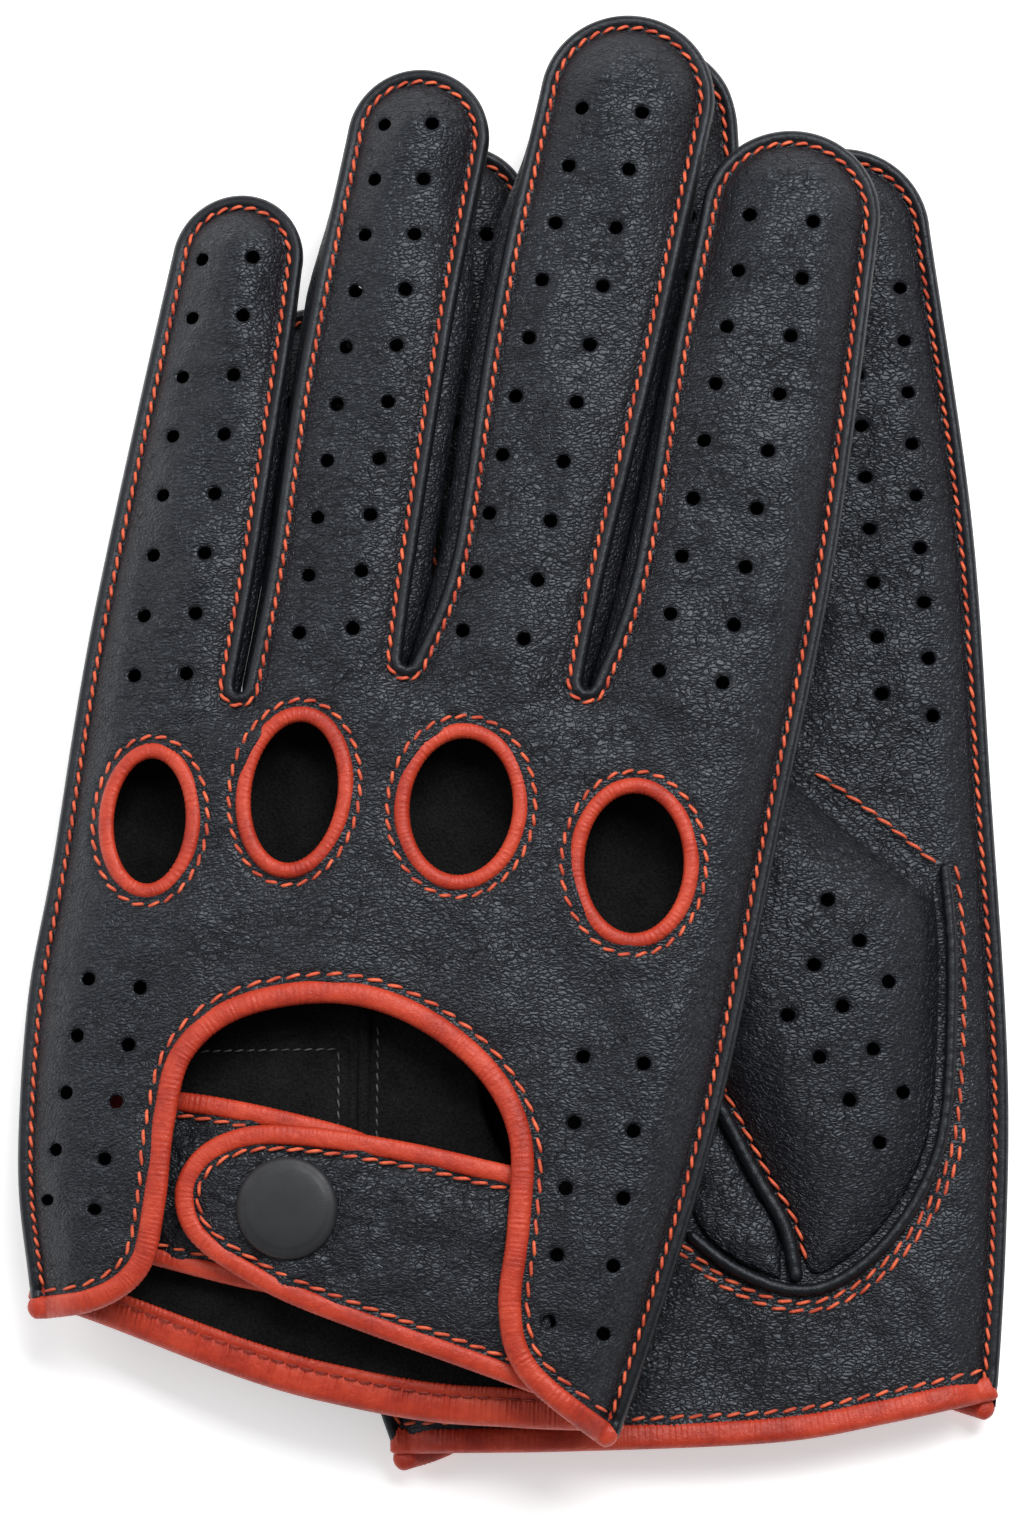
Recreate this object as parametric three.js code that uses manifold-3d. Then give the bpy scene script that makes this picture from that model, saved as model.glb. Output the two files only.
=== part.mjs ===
// A pair of leather driving gloves lying fanned on a table: the right glove below, palm up,
// and the left glove on top of it, back up. Units are millimetres and +Z is up.
//
// Each glove is designed once in a flat frame of its own: the origin is the middle of the cuff,
// +X is the thumb side, +Y runs towards the fingertips and +Z comes out of the back of the hand.
// The right glove is the same design mirrored in Z.
import * as THREE from "three";
import { TessellateModifier } from "three/addons/modifiers/TessellateModifier.js";
import { mergeVertices } from "three/addons/utils/BufferGeometryUtils.js";
import Module from "manifold-3d";

const wasm = await Module();
wasm.setup();

// Driving dimensions
const LEATHER = 1.0;             // thickness of the glove leather
const THIN_LEATHER = 0.7;        // thickness of the thumb's back and gusset
const GAP = 0.3;                 // clearance kept between pieces that are sewn together
const BACK_HEIGHT = 6.0;         // outer face of the back above the seam plane
const PALM_HEIGHT = 4.5;         // outer face of the palm below the seam plane
const THUMB_HEIGHT = 11.7;       // outer face of the folded thumb below the seam plane
const THUMB_BASE_HEIGHT = 8.6;   // the same at the root of the thumb
const SEAM_WIDTH = 1.8;          // flat sewn margin along the outline
const CROWN_WIDTH = 7.5;         // distance from the outline to the level middle
const BINDING_WIDTH = 2.6;
const BINDING_THICKNESS = 1.6;
const WELT_RADIUS = 1.0;
const BACK_RIM = 3.4;            // inner face of the back at a finger's side wall
const PALM_RIM = 2.4;            // inner face of the palm at a finger's side wall
const RIM_RISE_LENGTH = 28;      // length over which the side walls grow from a fingertip

// Plan of the hand, counter-clockwise from the cuff's thumb side
const RIGHT_SIDE = [
  [42.5, -14], [46.1, -0.4], [50.2, 28.6], [52.5, 56], [53.2, 96], [53.6, 140], [50.7, 193],
];
const LEFT_SIDE = [
  [-55.6, 168.6], [-56.0, 110], [-54.5, 72], [-54.2, 49.7], [-50.5, 22], [-45.1, 1.8], [-41, -14],
];
const FINGERS = [
  { name: "index", tip: [37.0, 193.0], radius: 13.7 },
  { name: "middle", tip: [8.8, 203.6], radius: 13.4 },
  { name: "ring", tip: [-21.8, 191.8], radius: 11.0 },
  { name: "pinky", tip: [-45.6, 168.6], radius: 10.0 },
];
// Between two fingers: the lowest point, and the way down to it and up again
const FORKS = [
  {
    name: "index_middle",
    bottom: [20.6, 111.4],
    down: [[23.4, 165], [24.1, 130]],
    up: [[20.0, 130], [21.5, 165]],
  },
  {
    name: "middle_ring",
    bottom: [-7.0, 109.8],
    down: [[-4.9, 165], [-3.3, 128]],
    up: [[-8.8, 126], [-10.4, 165]],
  },
  {
    name: "ring_pinky",
    bottom: [-31.6, 101.4],
    down: [[-32.4, 150], [-30.8, 122]],
    up: [[-32.8, 122], [-34.2, 150]],
  },
];
const FORK_RADIUS = 0.8;

// Openings, bindings and tabs
const CUFF_EDGE = [
  [-46.4, 1.4], [-37, 4.4], [-31, 11.3], [-30.4, 22.5], [-31.3, 35], [-30.4, 46.4], [-23, 55.2],
  [-8.9, 60.4], [4.5, 59.6], [17.4, 53.3], [25.2, 43.4], [27.7, 29], [28.6, 17.5], [33, 8.6], [46.6, 0.6],
];
const PALM_EDGE = [[-46.4, 1.8], [-20, -0.2], [12, -1.6], [47, 0]];
const KNUCKLES = [
  { name: "pinky", at: [-41.1, 79.8], radii: [7.8, 11.8], lean: 9 },
  { name: "ring", at: [-19.9, 87.8], radii: [8.8, 13.0], lean: 4 },
  { name: "middle", at: [5.5, 90.2], radii: [10.0, 12.6], lean: 6 },
  { name: "index", at: [32.8, 86.6], radii: [9.7, 12.8], lean: 10 },
];
const OVERLAP_EDGE = [
  [22, 38.4], [8, 38.9], [-8, 38.4], [-18, 36.4], [-24.4, 31.6], [-26.2, 24.6], [-22.4, 17.6],
  [-12.2, 13.2], [2, 10.4], [22, 7.3],
];
const UNDERLAP_EDGE = [
  [-27.4, 12.2], [-12, 12.6], [1, 14], [8, 20], [8, 33], [2, 38.6], [-10, 40.2], [-27.4, 40.4],
];
const OVERLAP_LEVEL = 3.0;       // underside of the upper tab's leather
const UNDERLAP_LEVEL = -0.5;     // underside of the lower tab's leather
const TAB_LEATHER = 0.9;
const TAB_BINDING = 1.5;
const SNAP_AT = [-8.9, 25.7];
const SNAP_HOLE_RADIUS = 1.45;
// Snap parts in section, as distances from the axis and heights above the part's own base
const CAP_SECTION = [[0, 0], [7.3, 0], [7.8, 0.5], [7.3, 1.1], [6.2, 1.8], [0, 1.8]];
const SOCKET_SECTION = [[2.6, 0], [5.5, 0], [5.5, 1.2], [2.6, 1.2], [2.6, 0]];
const STUD_SECTION = [[0, 0], [4.8, 0], [4.8, 0.45], [1.9, 0.5], [2.2, 1.1], [1.6, 1.6], [0, 1.6]];
const POST_SECTION = [[0, 0], [4.8, 0], [4.8, 0.7], [1.1, 0.7], [1.1, 1.9], [0, 1.9]];
const SOCKET_HEIGHT = 1.2;
const POST_FLANGE = 0.7;

// Thumb, lying across the palm with its tip towards the ring finger
const THUMB_EDGE = [
  [42.9, 82], [42.9, 70], [40.4, 48.8], [37, 38.5], [30.4, 29.6], [22.9, 24.4], [19.3, 24.4], [18, 31.6],
  [14.3, 39.9], [9.4, 51.4], [-1, 74.8], [-11.7, 96.6],
];
const THUMB_ROOT_POINTS = 10;    // how many of those points are sewn down to the palm
const THUMB_TIP = { at: [-4.5, 110.6], radius: 12.2, from: 210, to: 62 };
const THUMB_WEB = [[14.7, 109.6], [25.8, 98.4]];
const THUMB_HOLE = { at: [26.7, 54.5], radii: [12, 19], lean: 15 };
const THUMB_SPINE = [[29.7, 44], [21.7, 64], [-4.5, 110.6]];
const THUMB_RISE_LENGTH = 45;    // length over which the thumb thickens from its root
const THUMB_RINGS = [0, 0.12, 0.3, 0.55];   // how far each ring has moved from the edge to the spine
const THUMB_AXIS = new THREE.Vector2(-0.512, 0.858);
const WELT_PATH = [
  [44.9, 85], [44.9, 70], [42.4, 48], [38.6, 37], [31.5, 27.7], [23.3, 22.2], [16.1, 21.6], [8, 25.4],
  [1.3, 31.4],
];
const GUSSET_WELT_PATH = [[16.9, 25.2], [15.9, 31], [12.3, 39], [7.5, 50.6], [2.1, 62.6]];
const GUSSET_EDGE = [
  [13.7, 25.4], [8.7, 27.8], [3.9, 33], [1.1, 42], [-0.5, 57], [2.1, 57], [5.3, 50], [10.3, 38.2],
  [13.7, 30.4],
];
const PATCH_EDGE = [[-36, 30], [-8, 30], [-8, 52], [-36, 52]];

// How the pair lies
const LEFT_YAW = -11;
const RIGHT_YAW = 4.2;
const LEFT_ROLL = -3;
const LEFT_LIFT = 26.4;          // seam plane of the upper glove above the table
const RIGHT_OFFSET = [57.8, -7]; // middle of the lower glove's cuff from the upper one's
const DRAPE_EDGE = 26;           // longest edge left in a drooping piece
const SAG = {
  side: { start: 0, reach: 55, depth: 9 },      // towards the little finger
  tip: { start: 90, reach: 125, depth: 7 },     // towards the fingertips
  hem: { start: 50, reach: 50, depth: 5 },      // towards the cuff
};

const leather = { color: 0x232326, roughness: 0.55, metalness: 0 };
const binding = { color: 0xd9442b, roughness: 0.5, metalness: 0 };
const lining = { color: 0x17171a, roughness: 0.95, metalness: 0 };
const blackMetal = { color: 0x2b2c2e, roughness: 0.45, metalness: 0.6 };
const brass = { color: 0x4a4a4c, roughness: 0.35, metalness: 0.9 };

// ---------------------------------------------------------------- plane curves

const vector = ([x, y]) => new THREE.Vector2(x, y);

function smoothCurve(points, count) {
  return new THREE.SplineCurve(points.map(vector)).getSpacedPoints(count);
}

function arc(center, radius, from, to, count) {
  const points = [];
  for (let i = 0; i <= count; i++) {
    const angle = THREE.MathUtils.degToRad(from + ((to - from) * i) / count);
    const spoke = new THREE.Vector2(radius * Math.cos(angle), radius * Math.sin(angle));
    points.push(spoke.add(vector(center)));
  }
  return points;
}

// An upright ellipse whose top leans towards the little finger by an angle in degrees
function ellipse(center, radii, lean, count) {
  const turn = THREE.MathUtils.degToRad(lean);
  const points = [];
  for (let i = 0; i < count; i++) {
    const angle = (2 * Math.PI * i) / count;
    const point = new THREE.Vector2(radii[0] * Math.cos(angle), radii[1] * Math.sin(angle));
    points.push(point.rotateAround(new THREE.Vector2(), turn).add(vector(center)));
  }
  return points;
}

// Unit normals to the left of a path, which is inwards on a counter-clockwise outline
function leftNormals(points, closed) {
  const last = points.length - 1;
  return points.map((point, i) => {
    const before = points[closed ? (i + last) % (last + 1) : Math.max(i - 1, 0)];
    const after = points[closed ? (i + 1) % (last + 1) : Math.min(i + 1, last)];
    const into = point.clone().sub(before);
    const out = after.clone().sub(point);
    const along = into.normalize().add(out.normalize()).normalize();
    return new THREE.Vector2(-along.y, along.x);
  });
}

function offset(points, distance, closed) {
  const normals = leftNormals(points, closed);
  return points.map((point, i) => point.clone().addScaledVector(normals[i], distance));
}

function nearestOn(path, point) {
  let best = { distance: Infinity, index: 0, part: 0 };
  for (let i = 0; i < path.length; i++) {
    const start = path[i];
    const run = path[(i + 1) % path.length].clone().sub(start);
    const part = THREE.MathUtils.clamp(point.clone().sub(start).dot(run) / run.lengthSq(), 0, 1);
    const distance = start.clone().addScaledVector(run, part).distanceTo(point);
    if (distance < best.distance) {
      best = { distance, index: i, part };
    }
  }
  return best;
}

// ---------------------------------------------------------------- solids

const WELD = 1e-4;               // corners closer than this are one corner

function signedVolume(points, faces) {
  const corner = new THREE.Vector3();
  return faces.reduce((sum, [a, b, c]) => sum + corner.copy(points[a]).cross(points[b]).dot(points[c]), 0);
}

// A closed body from its corners and triangles, turned so that its faces point outwards
function solidFrom(points, faces) {
  const insideOut = signedVolume(points, faces) < 0;
  const index = faces.flatMap(([a, b, c]) => (insideOut ? [a, c, b] : [a, b, c]));
  const places = points.flatMap(({ x, y, z }) => [x, y, z]);
  const geometry = new THREE.BufferGeometry();
  geometry.setAttribute("position", new THREE.Float32BufferAttribute(places, 3));
  geometry.setIndex(index);
  return geometry;
}

// A solid through matching sections, each an outline seen counter-clockwise against the path
function loft(sections, closed) {
  const size = sections[0].length;
  const count = sections.length;
  const faces = [];
  for (let i = 0; i < (closed ? count : count - 1); i++) {
    const here = i * size;
    const next = ((i + 1) % count) * size;
    for (let j = 0; j < size; j++) {
      const k = (j + 1) % size;
      faces.push([here + j, here + k, next + k], [here + j, next + k, next + j]);
    }
  }
  if (!closed) {
    const end = (count - 1) * size;
    for (let j = 1; j < size - 1; j++) {
      faces.push([0, j + 1, j], [end, end + j, end + j + 1]);
    }
  }
  return solidFrom(sections.flat(), faces);
}

function prism(outline, low, high) {
  const shape = new THREE.Shape(outline);
  return new THREE.ExtrudeGeometry(shape, { depth: high - low, bevelEnabled: false }).translate(0, 0, low);
}

// A solid of revolution about the snap's axis, with its base at a level
function turnedAtSnap(section, segments, level) {
  const solid = new THREE.LatheGeometry(section.map(vector), segments).rotateX(Math.PI / 2);
  return solid.translate(SNAP_AT[0], SNAP_AT[1], level);
}

function toManifold(geometry) {
  const bare = geometry.clone();
  bare.deleteAttribute("normal");
  bare.deleteAttribute("uv");
  const merged = mergeVertices(bare, WELD);
  const vertProperties = merged.attributes.position.array;
  const triVerts = new Uint32Array(merged.index.array);
  return new wasm.Manifold(new wasm.Mesh({ numProp: 3, vertProperties, triVerts }));
}

function cut(geometry, tools) {
  let solid = toManifold(geometry);
  for (const tool of tools) {
    solid = solid.subtract(toManifold(tool));
  }
  const mesh = solid.getMesh();
  const result = new THREE.BufferGeometry();
  result.setAttribute("position", new THREE.BufferAttribute(mesh.vertProperties, 3));
  result.setIndex(new THREE.BufferAttribute(mesh.triVerts, 1));
  return result;
}

// A strip of rectangular section beside a path: near and far are distances to the path's left
function strip(path, near, far, lowAt, highAt, closed) {
  const nearSide = offset(path, near, closed);
  const farSide = offset(path, far, closed);
  const sections = path.map((point, i) => {
    const low = lowAt(i, nearSide[i]);
    const high = highAt(i, nearSide[i]);
    return [
      new THREE.Vector3(nearSide[i].x, nearSide[i].y, low),
      new THREE.Vector3(nearSide[i].x, nearSide[i].y, high),
      new THREE.Vector3(farSide[i].x, farSide[i].y, high),
      new THREE.Vector3(farSide[i].x, farSide[i].y, low),
    ];
  });
  return loft(sections, closed);
}

// A round cord along a plane path at one level
function cord(path, level, radius) {
  const sides = 6;
  const normals = leftNormals(path, false);
  const sections = path.map((point, i) => {
    const ring = [];
    for (let j = 0; j < sides; j++) {
      const angle = (2 * Math.PI * j) / sides;
      const across = point.clone().addScaledVector(normals[i], -radius * Math.cos(angle));
      ring.push(new THREE.Vector3(across.x, across.y, level + radius * Math.sin(angle)));
    }
    return ring;
  });
  return loft(sections, false);
}

// ---------------------------------------------------------------- outline and crowned panels

const smoothstep = (value) => THREE.MathUtils.smoothstep(value, 0, 1);

// The sewn outline as points, each with the share of full side-wall height it has there
function handOutline() {
  const points = [];
  const shares = [];
  const add = (list, share) => {
    for (const point of list) {
      points.push(point);
      shares.push(share(point));
    }
  };
  const none = () => 0;
  add(smoothCurve(RIGHT_SIDE, 9).slice(0, -1), none);
  FINGERS.forEach((finger, i) => {
    add(arc(finger.tip, finger.radius, 0, 180, 6), none);
    if (i < FORKS.length) {
      const fork = FORKS[i];
      const next = FINGERS[i + 1];
      const [x, y] = fork.bottom;
      const top = (f) => (point) => smoothstep((f.tip[1] - point.y) / RIM_RISE_LENGTH);
      const down = [[finger.tip[0] - finger.radius, finger.tip[1]], ...fork.down, [x + FORK_RADIUS, y + 1]];
      const up = [[x - FORK_RADIUS, y + 1], ...fork.up, [next.tip[0] + next.radius, next.tip[1]]];
      add(smoothCurve(down, 6).slice(1), top(finger));
      add([new THREE.Vector2(x, y)], () => 1);
      add(smoothCurve(up, 6).slice(0, -1), top(next));
    }
  });
  add(smoothCurve(LEFT_SIDE, 9).slice(1), none);
  return { points, shares };
}

const HAND = handOutline();
const CROWN_STEPS = [0, SEAM_WIDTH, 4.2, CROWN_WIDTH];

const crownShare = (distance) => {
  const part = THREE.MathUtils.clamp((distance - SEAM_WIDTH) / (CROWN_WIDTH - SEAM_WIDTH), 0, 1);
  return Math.sin((part * Math.PI) / 2);
};

// A crowned sheet through rings of plan points, from its outline to its level middle. Its inner
// face has the height rim(i) at the edge and middle(point) on the level part, and shares says how
// far each ring has risen. side is 1 when it bulges up and -1 when it bulges down.
function crownedSheet(rings, shares, rim, middle, side, thickness) {
  const count = rings[0].length;
  const outer = [];
  const inner = [];
  rings.forEach((ring, step) => {
    ring.forEach((point, i) => {
      const level = rim(i) + (middle(point) - rim(i)) * shares[step];
      outer.push(new THREE.Vector3(point.x, point.y, side * (level + thickness)));
      inner.push(new THREE.Vector3(point.x, point.y, side * level));
    });
  });
  const faces = [];
  const quad = (a, b, c, d, flip) => {
    faces.push(flip ? [a, c, b] : [a, b, c], flip ? [a, d, c] : [a, c, d]);
  };
  const under = outer.length;
  for (let i = 0; i < count; i++) {
    const k = (i + 1) % count;
    for (let ring = 0; ring < rings.length - 1; ring++) {
      const a = ring * count;
      const b = a + count;
      quad(a + i, a + k, b + k, b + i, side < 0);
      quad(under + a + i, under + a + k, under + b + k, under + b + i, side > 0);
    }
    quad(under + i, under + k, k, i, side < 0);
  }
  const last = (rings.length - 1) * count;
  for (const [a, b, c] of THREE.ShapeUtils.triangulateShape(rings[rings.length - 1], [])) {
    faces.push(side > 0 ? [last + a, last + b, last + c] : [last + a, last + c, last + b]);
    const low = under + last;
    faces.push(side > 0 ? [low + a, low + c, low + b] : [low + a, low + b, low + c]);
  }
  return solidFrom([...outer, ...inner], faces);
}

const rimLevel = (share, full) => GAP / 2 + (full - GAP / 2) * share;

function handSheet(height, rim, side) {
  const rings = CROWN_STEPS.map((step) => offset(HAND.points, step, true));
  const rimAt = (i) => rimLevel(HAND.shares[i], rim);
  return crownedSheet(rings, CROWN_STEPS.map(crownShare), rimAt, () => height - LEATHER, side, LEATHER);
}

// Height of a hand panel's outer face over a plan point
function faceHeight(point, height, rim) {
  const near = nearestOn(HAND.points, point);
  const next = (near.index + 1) % HAND.points.length;
  const share = THREE.MathUtils.lerp(HAND.shares[near.index], HAND.shares[next], near.part);
  const low = rimLevel(share, rim) + LEATHER;
  return low + (height - low) * crownShare(near.distance);
}

// ---------------------------------------------------------------- pieces of one glove

const CUT_DEPTH = 30;
const cuffPath = smoothCurve(CUFF_EDGE, 34);
const palmPath = smoothCurve(PALM_EDGE, 14);

function belowEdge(path) {
  const outer = [new THREE.Vector2(80, path[path.length - 1].y), new THREE.Vector2(80, -40)];
  outer.push(new THREE.Vector2(-80, -40), new THREE.Vector2(-80, path[0].y));
  return prism([...path, ...outer], -CUT_DEPTH, CUT_DEPTH);
}

function backPanel() {
  const holes = KNUCKLES.map((k) => prism(ellipse(k.at, k.radii, k.lean, 20), -CUT_DEPTH, CUT_DEPTH));
  return cut(handSheet(BACK_HEIGHT, BACK_RIM, 1), [belowEdge(cuffPath), ...holes]);
}

function palmPanel() {
  const hole = prism(ellipse(THUMB_HOLE.at, THUMB_HOLE.radii, THUMB_HOLE.lean, 20), -CUT_DEPTH, CUT_DEPTH);
  return cut(handSheet(PALM_HEIGHT, PALM_RIM, -1), [belowEdge(palmPath), hole]);
}

function knuckleRing({ at, radii, lean }) {
  const edge = ellipse(at, radii, lean, 18);
  const low = () => BACK_HEIGHT - BINDING_THICKNESS;
  return strip(edge, GAP, BINDING_WIDTH, low, () => BACK_HEIGHT, true);
}

function cuffBinding() {
  const high = (i, point) => faceHeight(point, BACK_HEIGHT, BACK_RIM);
  const low = (i, point) => high(i, point) - BINDING_THICKNESS;
  return strip(cuffPath.slice(1, -1), -BINDING_WIDTH - GAP, -GAP, low, high, false);
}

function palmHemBinding() {
  const low = (i, point) => -faceHeight(point, PALM_HEIGHT, PALM_RIM);
  const high = (i, point) => low(i, point) + BINDING_THICKNESS;
  return strip(palmPath.slice(1, -1), -BINDING_WIDTH - GAP, -GAP, low, high, false);
}

// The wall between two fingers: down one finger's side, round the fork and up the next
function fourchette(fork) {
  const inside = [];
  HAND.points.forEach((point, i) => {
    const between = point.x < fork.right && point.x > fork.left;
    if (between && HAND.shares[i] > 0.12) {
      inside.push(i);
    }
  });
  const path = inside.map((i) => HAND.points[i]);
  const share = (i) => HAND.shares[inside[i]];
  const low = (i) => -rimLevel(share(i), PALM_RIM) + GAP;
  const high = (i) => rimLevel(share(i), BACK_RIM) - GAP;
  return strip(path, 0.5, 1.3, low, high, false);
}

// A tab's leather, inside a binding that runs along its outer edge
function tabLeather(edge, level) {
  const body = offset(smoothCurve(edge, 20), BINDING_WIDTH + GAP, false);
  return prism(body, level, level + TAB_LEATHER);
}

function tabBinding(edge, level) {
  const low = level + (TAB_LEATHER - TAB_BINDING) / 2;
  return strip(smoothCurve(edge, 20), 0, BINDING_WIDTH, () => low, () => low + TAB_BINDING, false);
}

function underlapLeather() {
  const r = SNAP_HOLE_RADIUS;
  const hole = turnedAtSnap([[0, -CUT_DEPTH], [r, -CUT_DEPTH], [r, CUT_DEPTH], [0, CUT_DEPTH]], 16, 0);
  return cut(tabLeather(UNDERLAP_EDGE, UNDERLAP_LEVEL), [hole]);
}

const snapCap = () => turnedAtSnap(CAP_SECTION, 28, OVERLAP_LEVEL + TAB_LEATHER + GAP);
const snapSocket = () => turnedAtSnap(SOCKET_SECTION, 20, OVERLAP_LEVEL - GAP - SOCKET_HEIGHT);
const snapStud = () => turnedAtSnap(STUD_SECTION, 20, UNDERLAP_LEVEL + TAB_LEATHER + GAP);
const snapPost = () => turnedAtSnap(POST_SECTION, 20, UNDERLAP_LEVEL - GAP - POST_FLANGE);

// ---------------------------------------------------------------- thumb

function thumbOutline() {
  const root = smoothCurve(THUMB_EDGE.slice(0, THUMB_ROOT_POINTS), 16);
  const rise = smoothCurve(THUMB_EDGE.slice(THUMB_ROOT_POINTS - 1), 4).slice(1);
  const tip = arc(THUMB_TIP.at, THUMB_TIP.radius, THUMB_TIP.from, THUMB_TIP.to, 8);
  const sewn = root.length;
  return { points: [...root, ...rise, ...tip, ...THUMB_WEB.map(vector)], sewn };
}

const alongThumb = (point) => point.clone().sub(vector(THUMB_EDGE[5])).dot(THUMB_AXIS);

function thumbFront() {
  // The outline runs clockwise, so it is reversed to keep its inside on the left
  const { points, sewn } = thumbOutline();
  const outline = [...points].reverse();
  const onPalm = PALM_HEIGHT + GAP;
  const free = onPalm + THIN_LEATHER + GAP;
  const rim = (i) => {
    const fromRoot = outline.length - 1 - i;
    const isSewn = fromRoot < sewn || fromRoot === outline.length - 1;
    return isSewn ? onPalm : free;
  };
  const middle = (point) => {
    const share = smoothstep(alongThumb(point) / THUMB_RISE_LENGTH);
    return THREE.MathUtils.lerp(THUMB_BASE_HEIGHT, THUMB_HEIGHT, share) - LEATHER;
  };
  const spine = smoothCurve(THUMB_SPINE, 16);
  const nearest = (point) => spine.reduce((a, b) => (a.distanceTo(point) < b.distanceTo(point) ? a : b));
  const rings = THUMB_RINGS.map((part) => outline.map((point) => point.clone().lerp(nearest(point), part)));
  const risen = THUMB_RINGS.map((part) => Math.sin((Math.PI * part) / (2 * THUMB_RINGS[3])));
  return crownedSheet(rings, risen, rim, middle, -1, LEATHER);
}

function thumbBack() {
  const { points, sewn } = thumbOutline();
  const free = points.slice(sewn, -1);
  return prism(free, -(PALM_HEIGHT + GAP + THIN_LEATHER), -(PALM_HEIGHT + GAP));
}

function thumbGusset() {
  return prism(GUSSET_EDGE.map(vector), -(PALM_HEIGHT + GAP + THIN_LEATHER), -(PALM_HEIGHT + GAP));
}

function innerPatch() {
  const low = -(PALM_HEIGHT - LEATHER - GAP);
  return prism(PATCH_EDGE.map(vector), low, low + THIN_LEATHER);
}

const weltLevel = -(PALM_HEIGHT + GAP + WELT_RADIUS);

// ---------------------------------------------------------------- assembly

function glovePieces() {
  const pieces = [];
  const add = (name, geometry, material) => pieces.push({ name, geometry, material });
  add("back_panel", backPanel(), leather);
  add("palm_panel", palmPanel(), leather);
  const walls = [[FINGERS[0], FINGERS[1]], [FINGERS[1], FINGERS[2]], [FINGERS[2], FINGERS[3]]];
  FORKS.forEach((fork, i) => {
    const [right, left] = walls[i];
    add(`fourchette_${fork.name}`, fourchette({ right: right.tip[0], left: left.tip[0] }), leather);
  });
  add("thumb_front", thumbFront(), leather);
  add("thumb_back", thumbBack(), leather);
  add("thumb_gusset", thumbGusset(), leather);
  add("thumb_welt", cord(smoothCurve(WELT_PATH, 24), weltLevel, WELT_RADIUS), leather);
  add("gusset_welt", cord(smoothCurve(GUSSET_WELT_PATH, 10), weltLevel, WELT_RADIUS), leather);
  add("overlap_tab", tabLeather(OVERLAP_EDGE, OVERLAP_LEVEL), leather);
  add("overlap_binding", tabBinding(OVERLAP_EDGE, OVERLAP_LEVEL), binding);
  add("underlap_tab", underlapLeather(), leather);
  add("underlap_binding", tabBinding(UNDERLAP_EDGE, UNDERLAP_LEVEL), binding);
  add("cuff_binding", cuffBinding(), binding);
  add("palm_hem_binding", palmHemBinding(), binding);
  for (const knuckle of KNUCKLES) {
    add(`knuckle_ring_${knuckle.name}`, knuckleRing(knuckle), binding);
  }
  add("snap_cap", snapCap(), blackMetal);
  add("snap_socket", snapSocket(), brass);
  add("snap_stud", snapStud(), brass);
  add("snap_post", snapPost(), brass);
  add("inner_patch", innerPatch(), lining);
  return pieces;
}

const sagAmount = ({ reach, depth }, past) => depth * Math.max(0, past / reach) ** 2;

// How far the upper glove droops below its own flat shape
function droop(x, y) {
  const side = sagAmount(SAG.side, SAG.side.start - x);
  const tip = sagAmount(SAG.tip, y - SAG.tip.start);
  const hem = sagAmount(SAG.hem, SAG.hem.start - y);
  return side + tip + hem;
}

// Long edges are split first, so that neighbouring pieces follow the same curve
function draped(geometry) {
  const bare = geometry.clone().deleteAttribute("normal").deleteAttribute("uv");
  const result = mergeVertices(new TessellateModifier(DRAPE_EDGE, 8).modify(bare), WELD);
  const place = result.attributes.position;
  for (let i = 0; i < place.count; i++) {
    place.setZ(i, place.getZ(i) - droop(place.getX(i), place.getY(i)));
  }
  return result;
}

function mirrored(geometry) {
  const result = mergeVertices(geometry.clone().deleteAttribute("normal"), WELD);
  const place = result.attributes.position;
  for (let i = 0; i < place.count; i++) {
    place.setZ(i, -place.getZ(i));
  }
  const index = [...result.index.array];
  for (let i = 0; i < index.length; i += 3) {
    [index[i], index[i + 1]] = [index[i + 1], index[i]];
  }
  result.setIndex(index);
  return result;
}

function glove(side, shape) {
  const group = new THREE.Group();
  for (const { name, geometry, material } of glovePieces()) {
    const mesh = new THREE.Mesh(shape(geometry), new THREE.MeshStandardMaterial(material));
    mesh.name = `${side}_${name}`;
    group.add(mesh);
  }
  return group;
}

function gloveOnTable(side, shape, { yaw, roll, at }) {
  const yawed = new THREE.Group();
  yawed.rotation.z = THREE.MathUtils.degToRad(yaw);
  yawed.position.set(...at);
  const rolled = glove(side, shape);
  rolled.rotation.y = THREE.MathUtils.degToRad(roll);
  yawed.add(rolled);
  return yawed;
}

const pair = new THREE.Group();
pair.add(gloveOnTable("right", mirrored, { yaw: RIGHT_YAW, roll: 0, at: [...RIGHT_OFFSET, BACK_HEIGHT] }));
pair.add(gloveOnTable("left", draped, { yaw: LEFT_YAW, roll: LEFT_ROLL, at: [0, 0, LEFT_LIFT] }));

// The origin is the middle of the pair's footprint, on the table
pair.updateMatrixWorld(true);
const extent = new THREE.Box3().setFromObject(pair, true);
const middle = extent.getCenter(new THREE.Vector3());
pair.position.set(-middle.x, -middle.y, -extent.min.z);

export default pair;
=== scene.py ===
import math

import bpy
import numpy as np
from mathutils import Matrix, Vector, geometry
from mathutils.kdtree import KDTree


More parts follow.
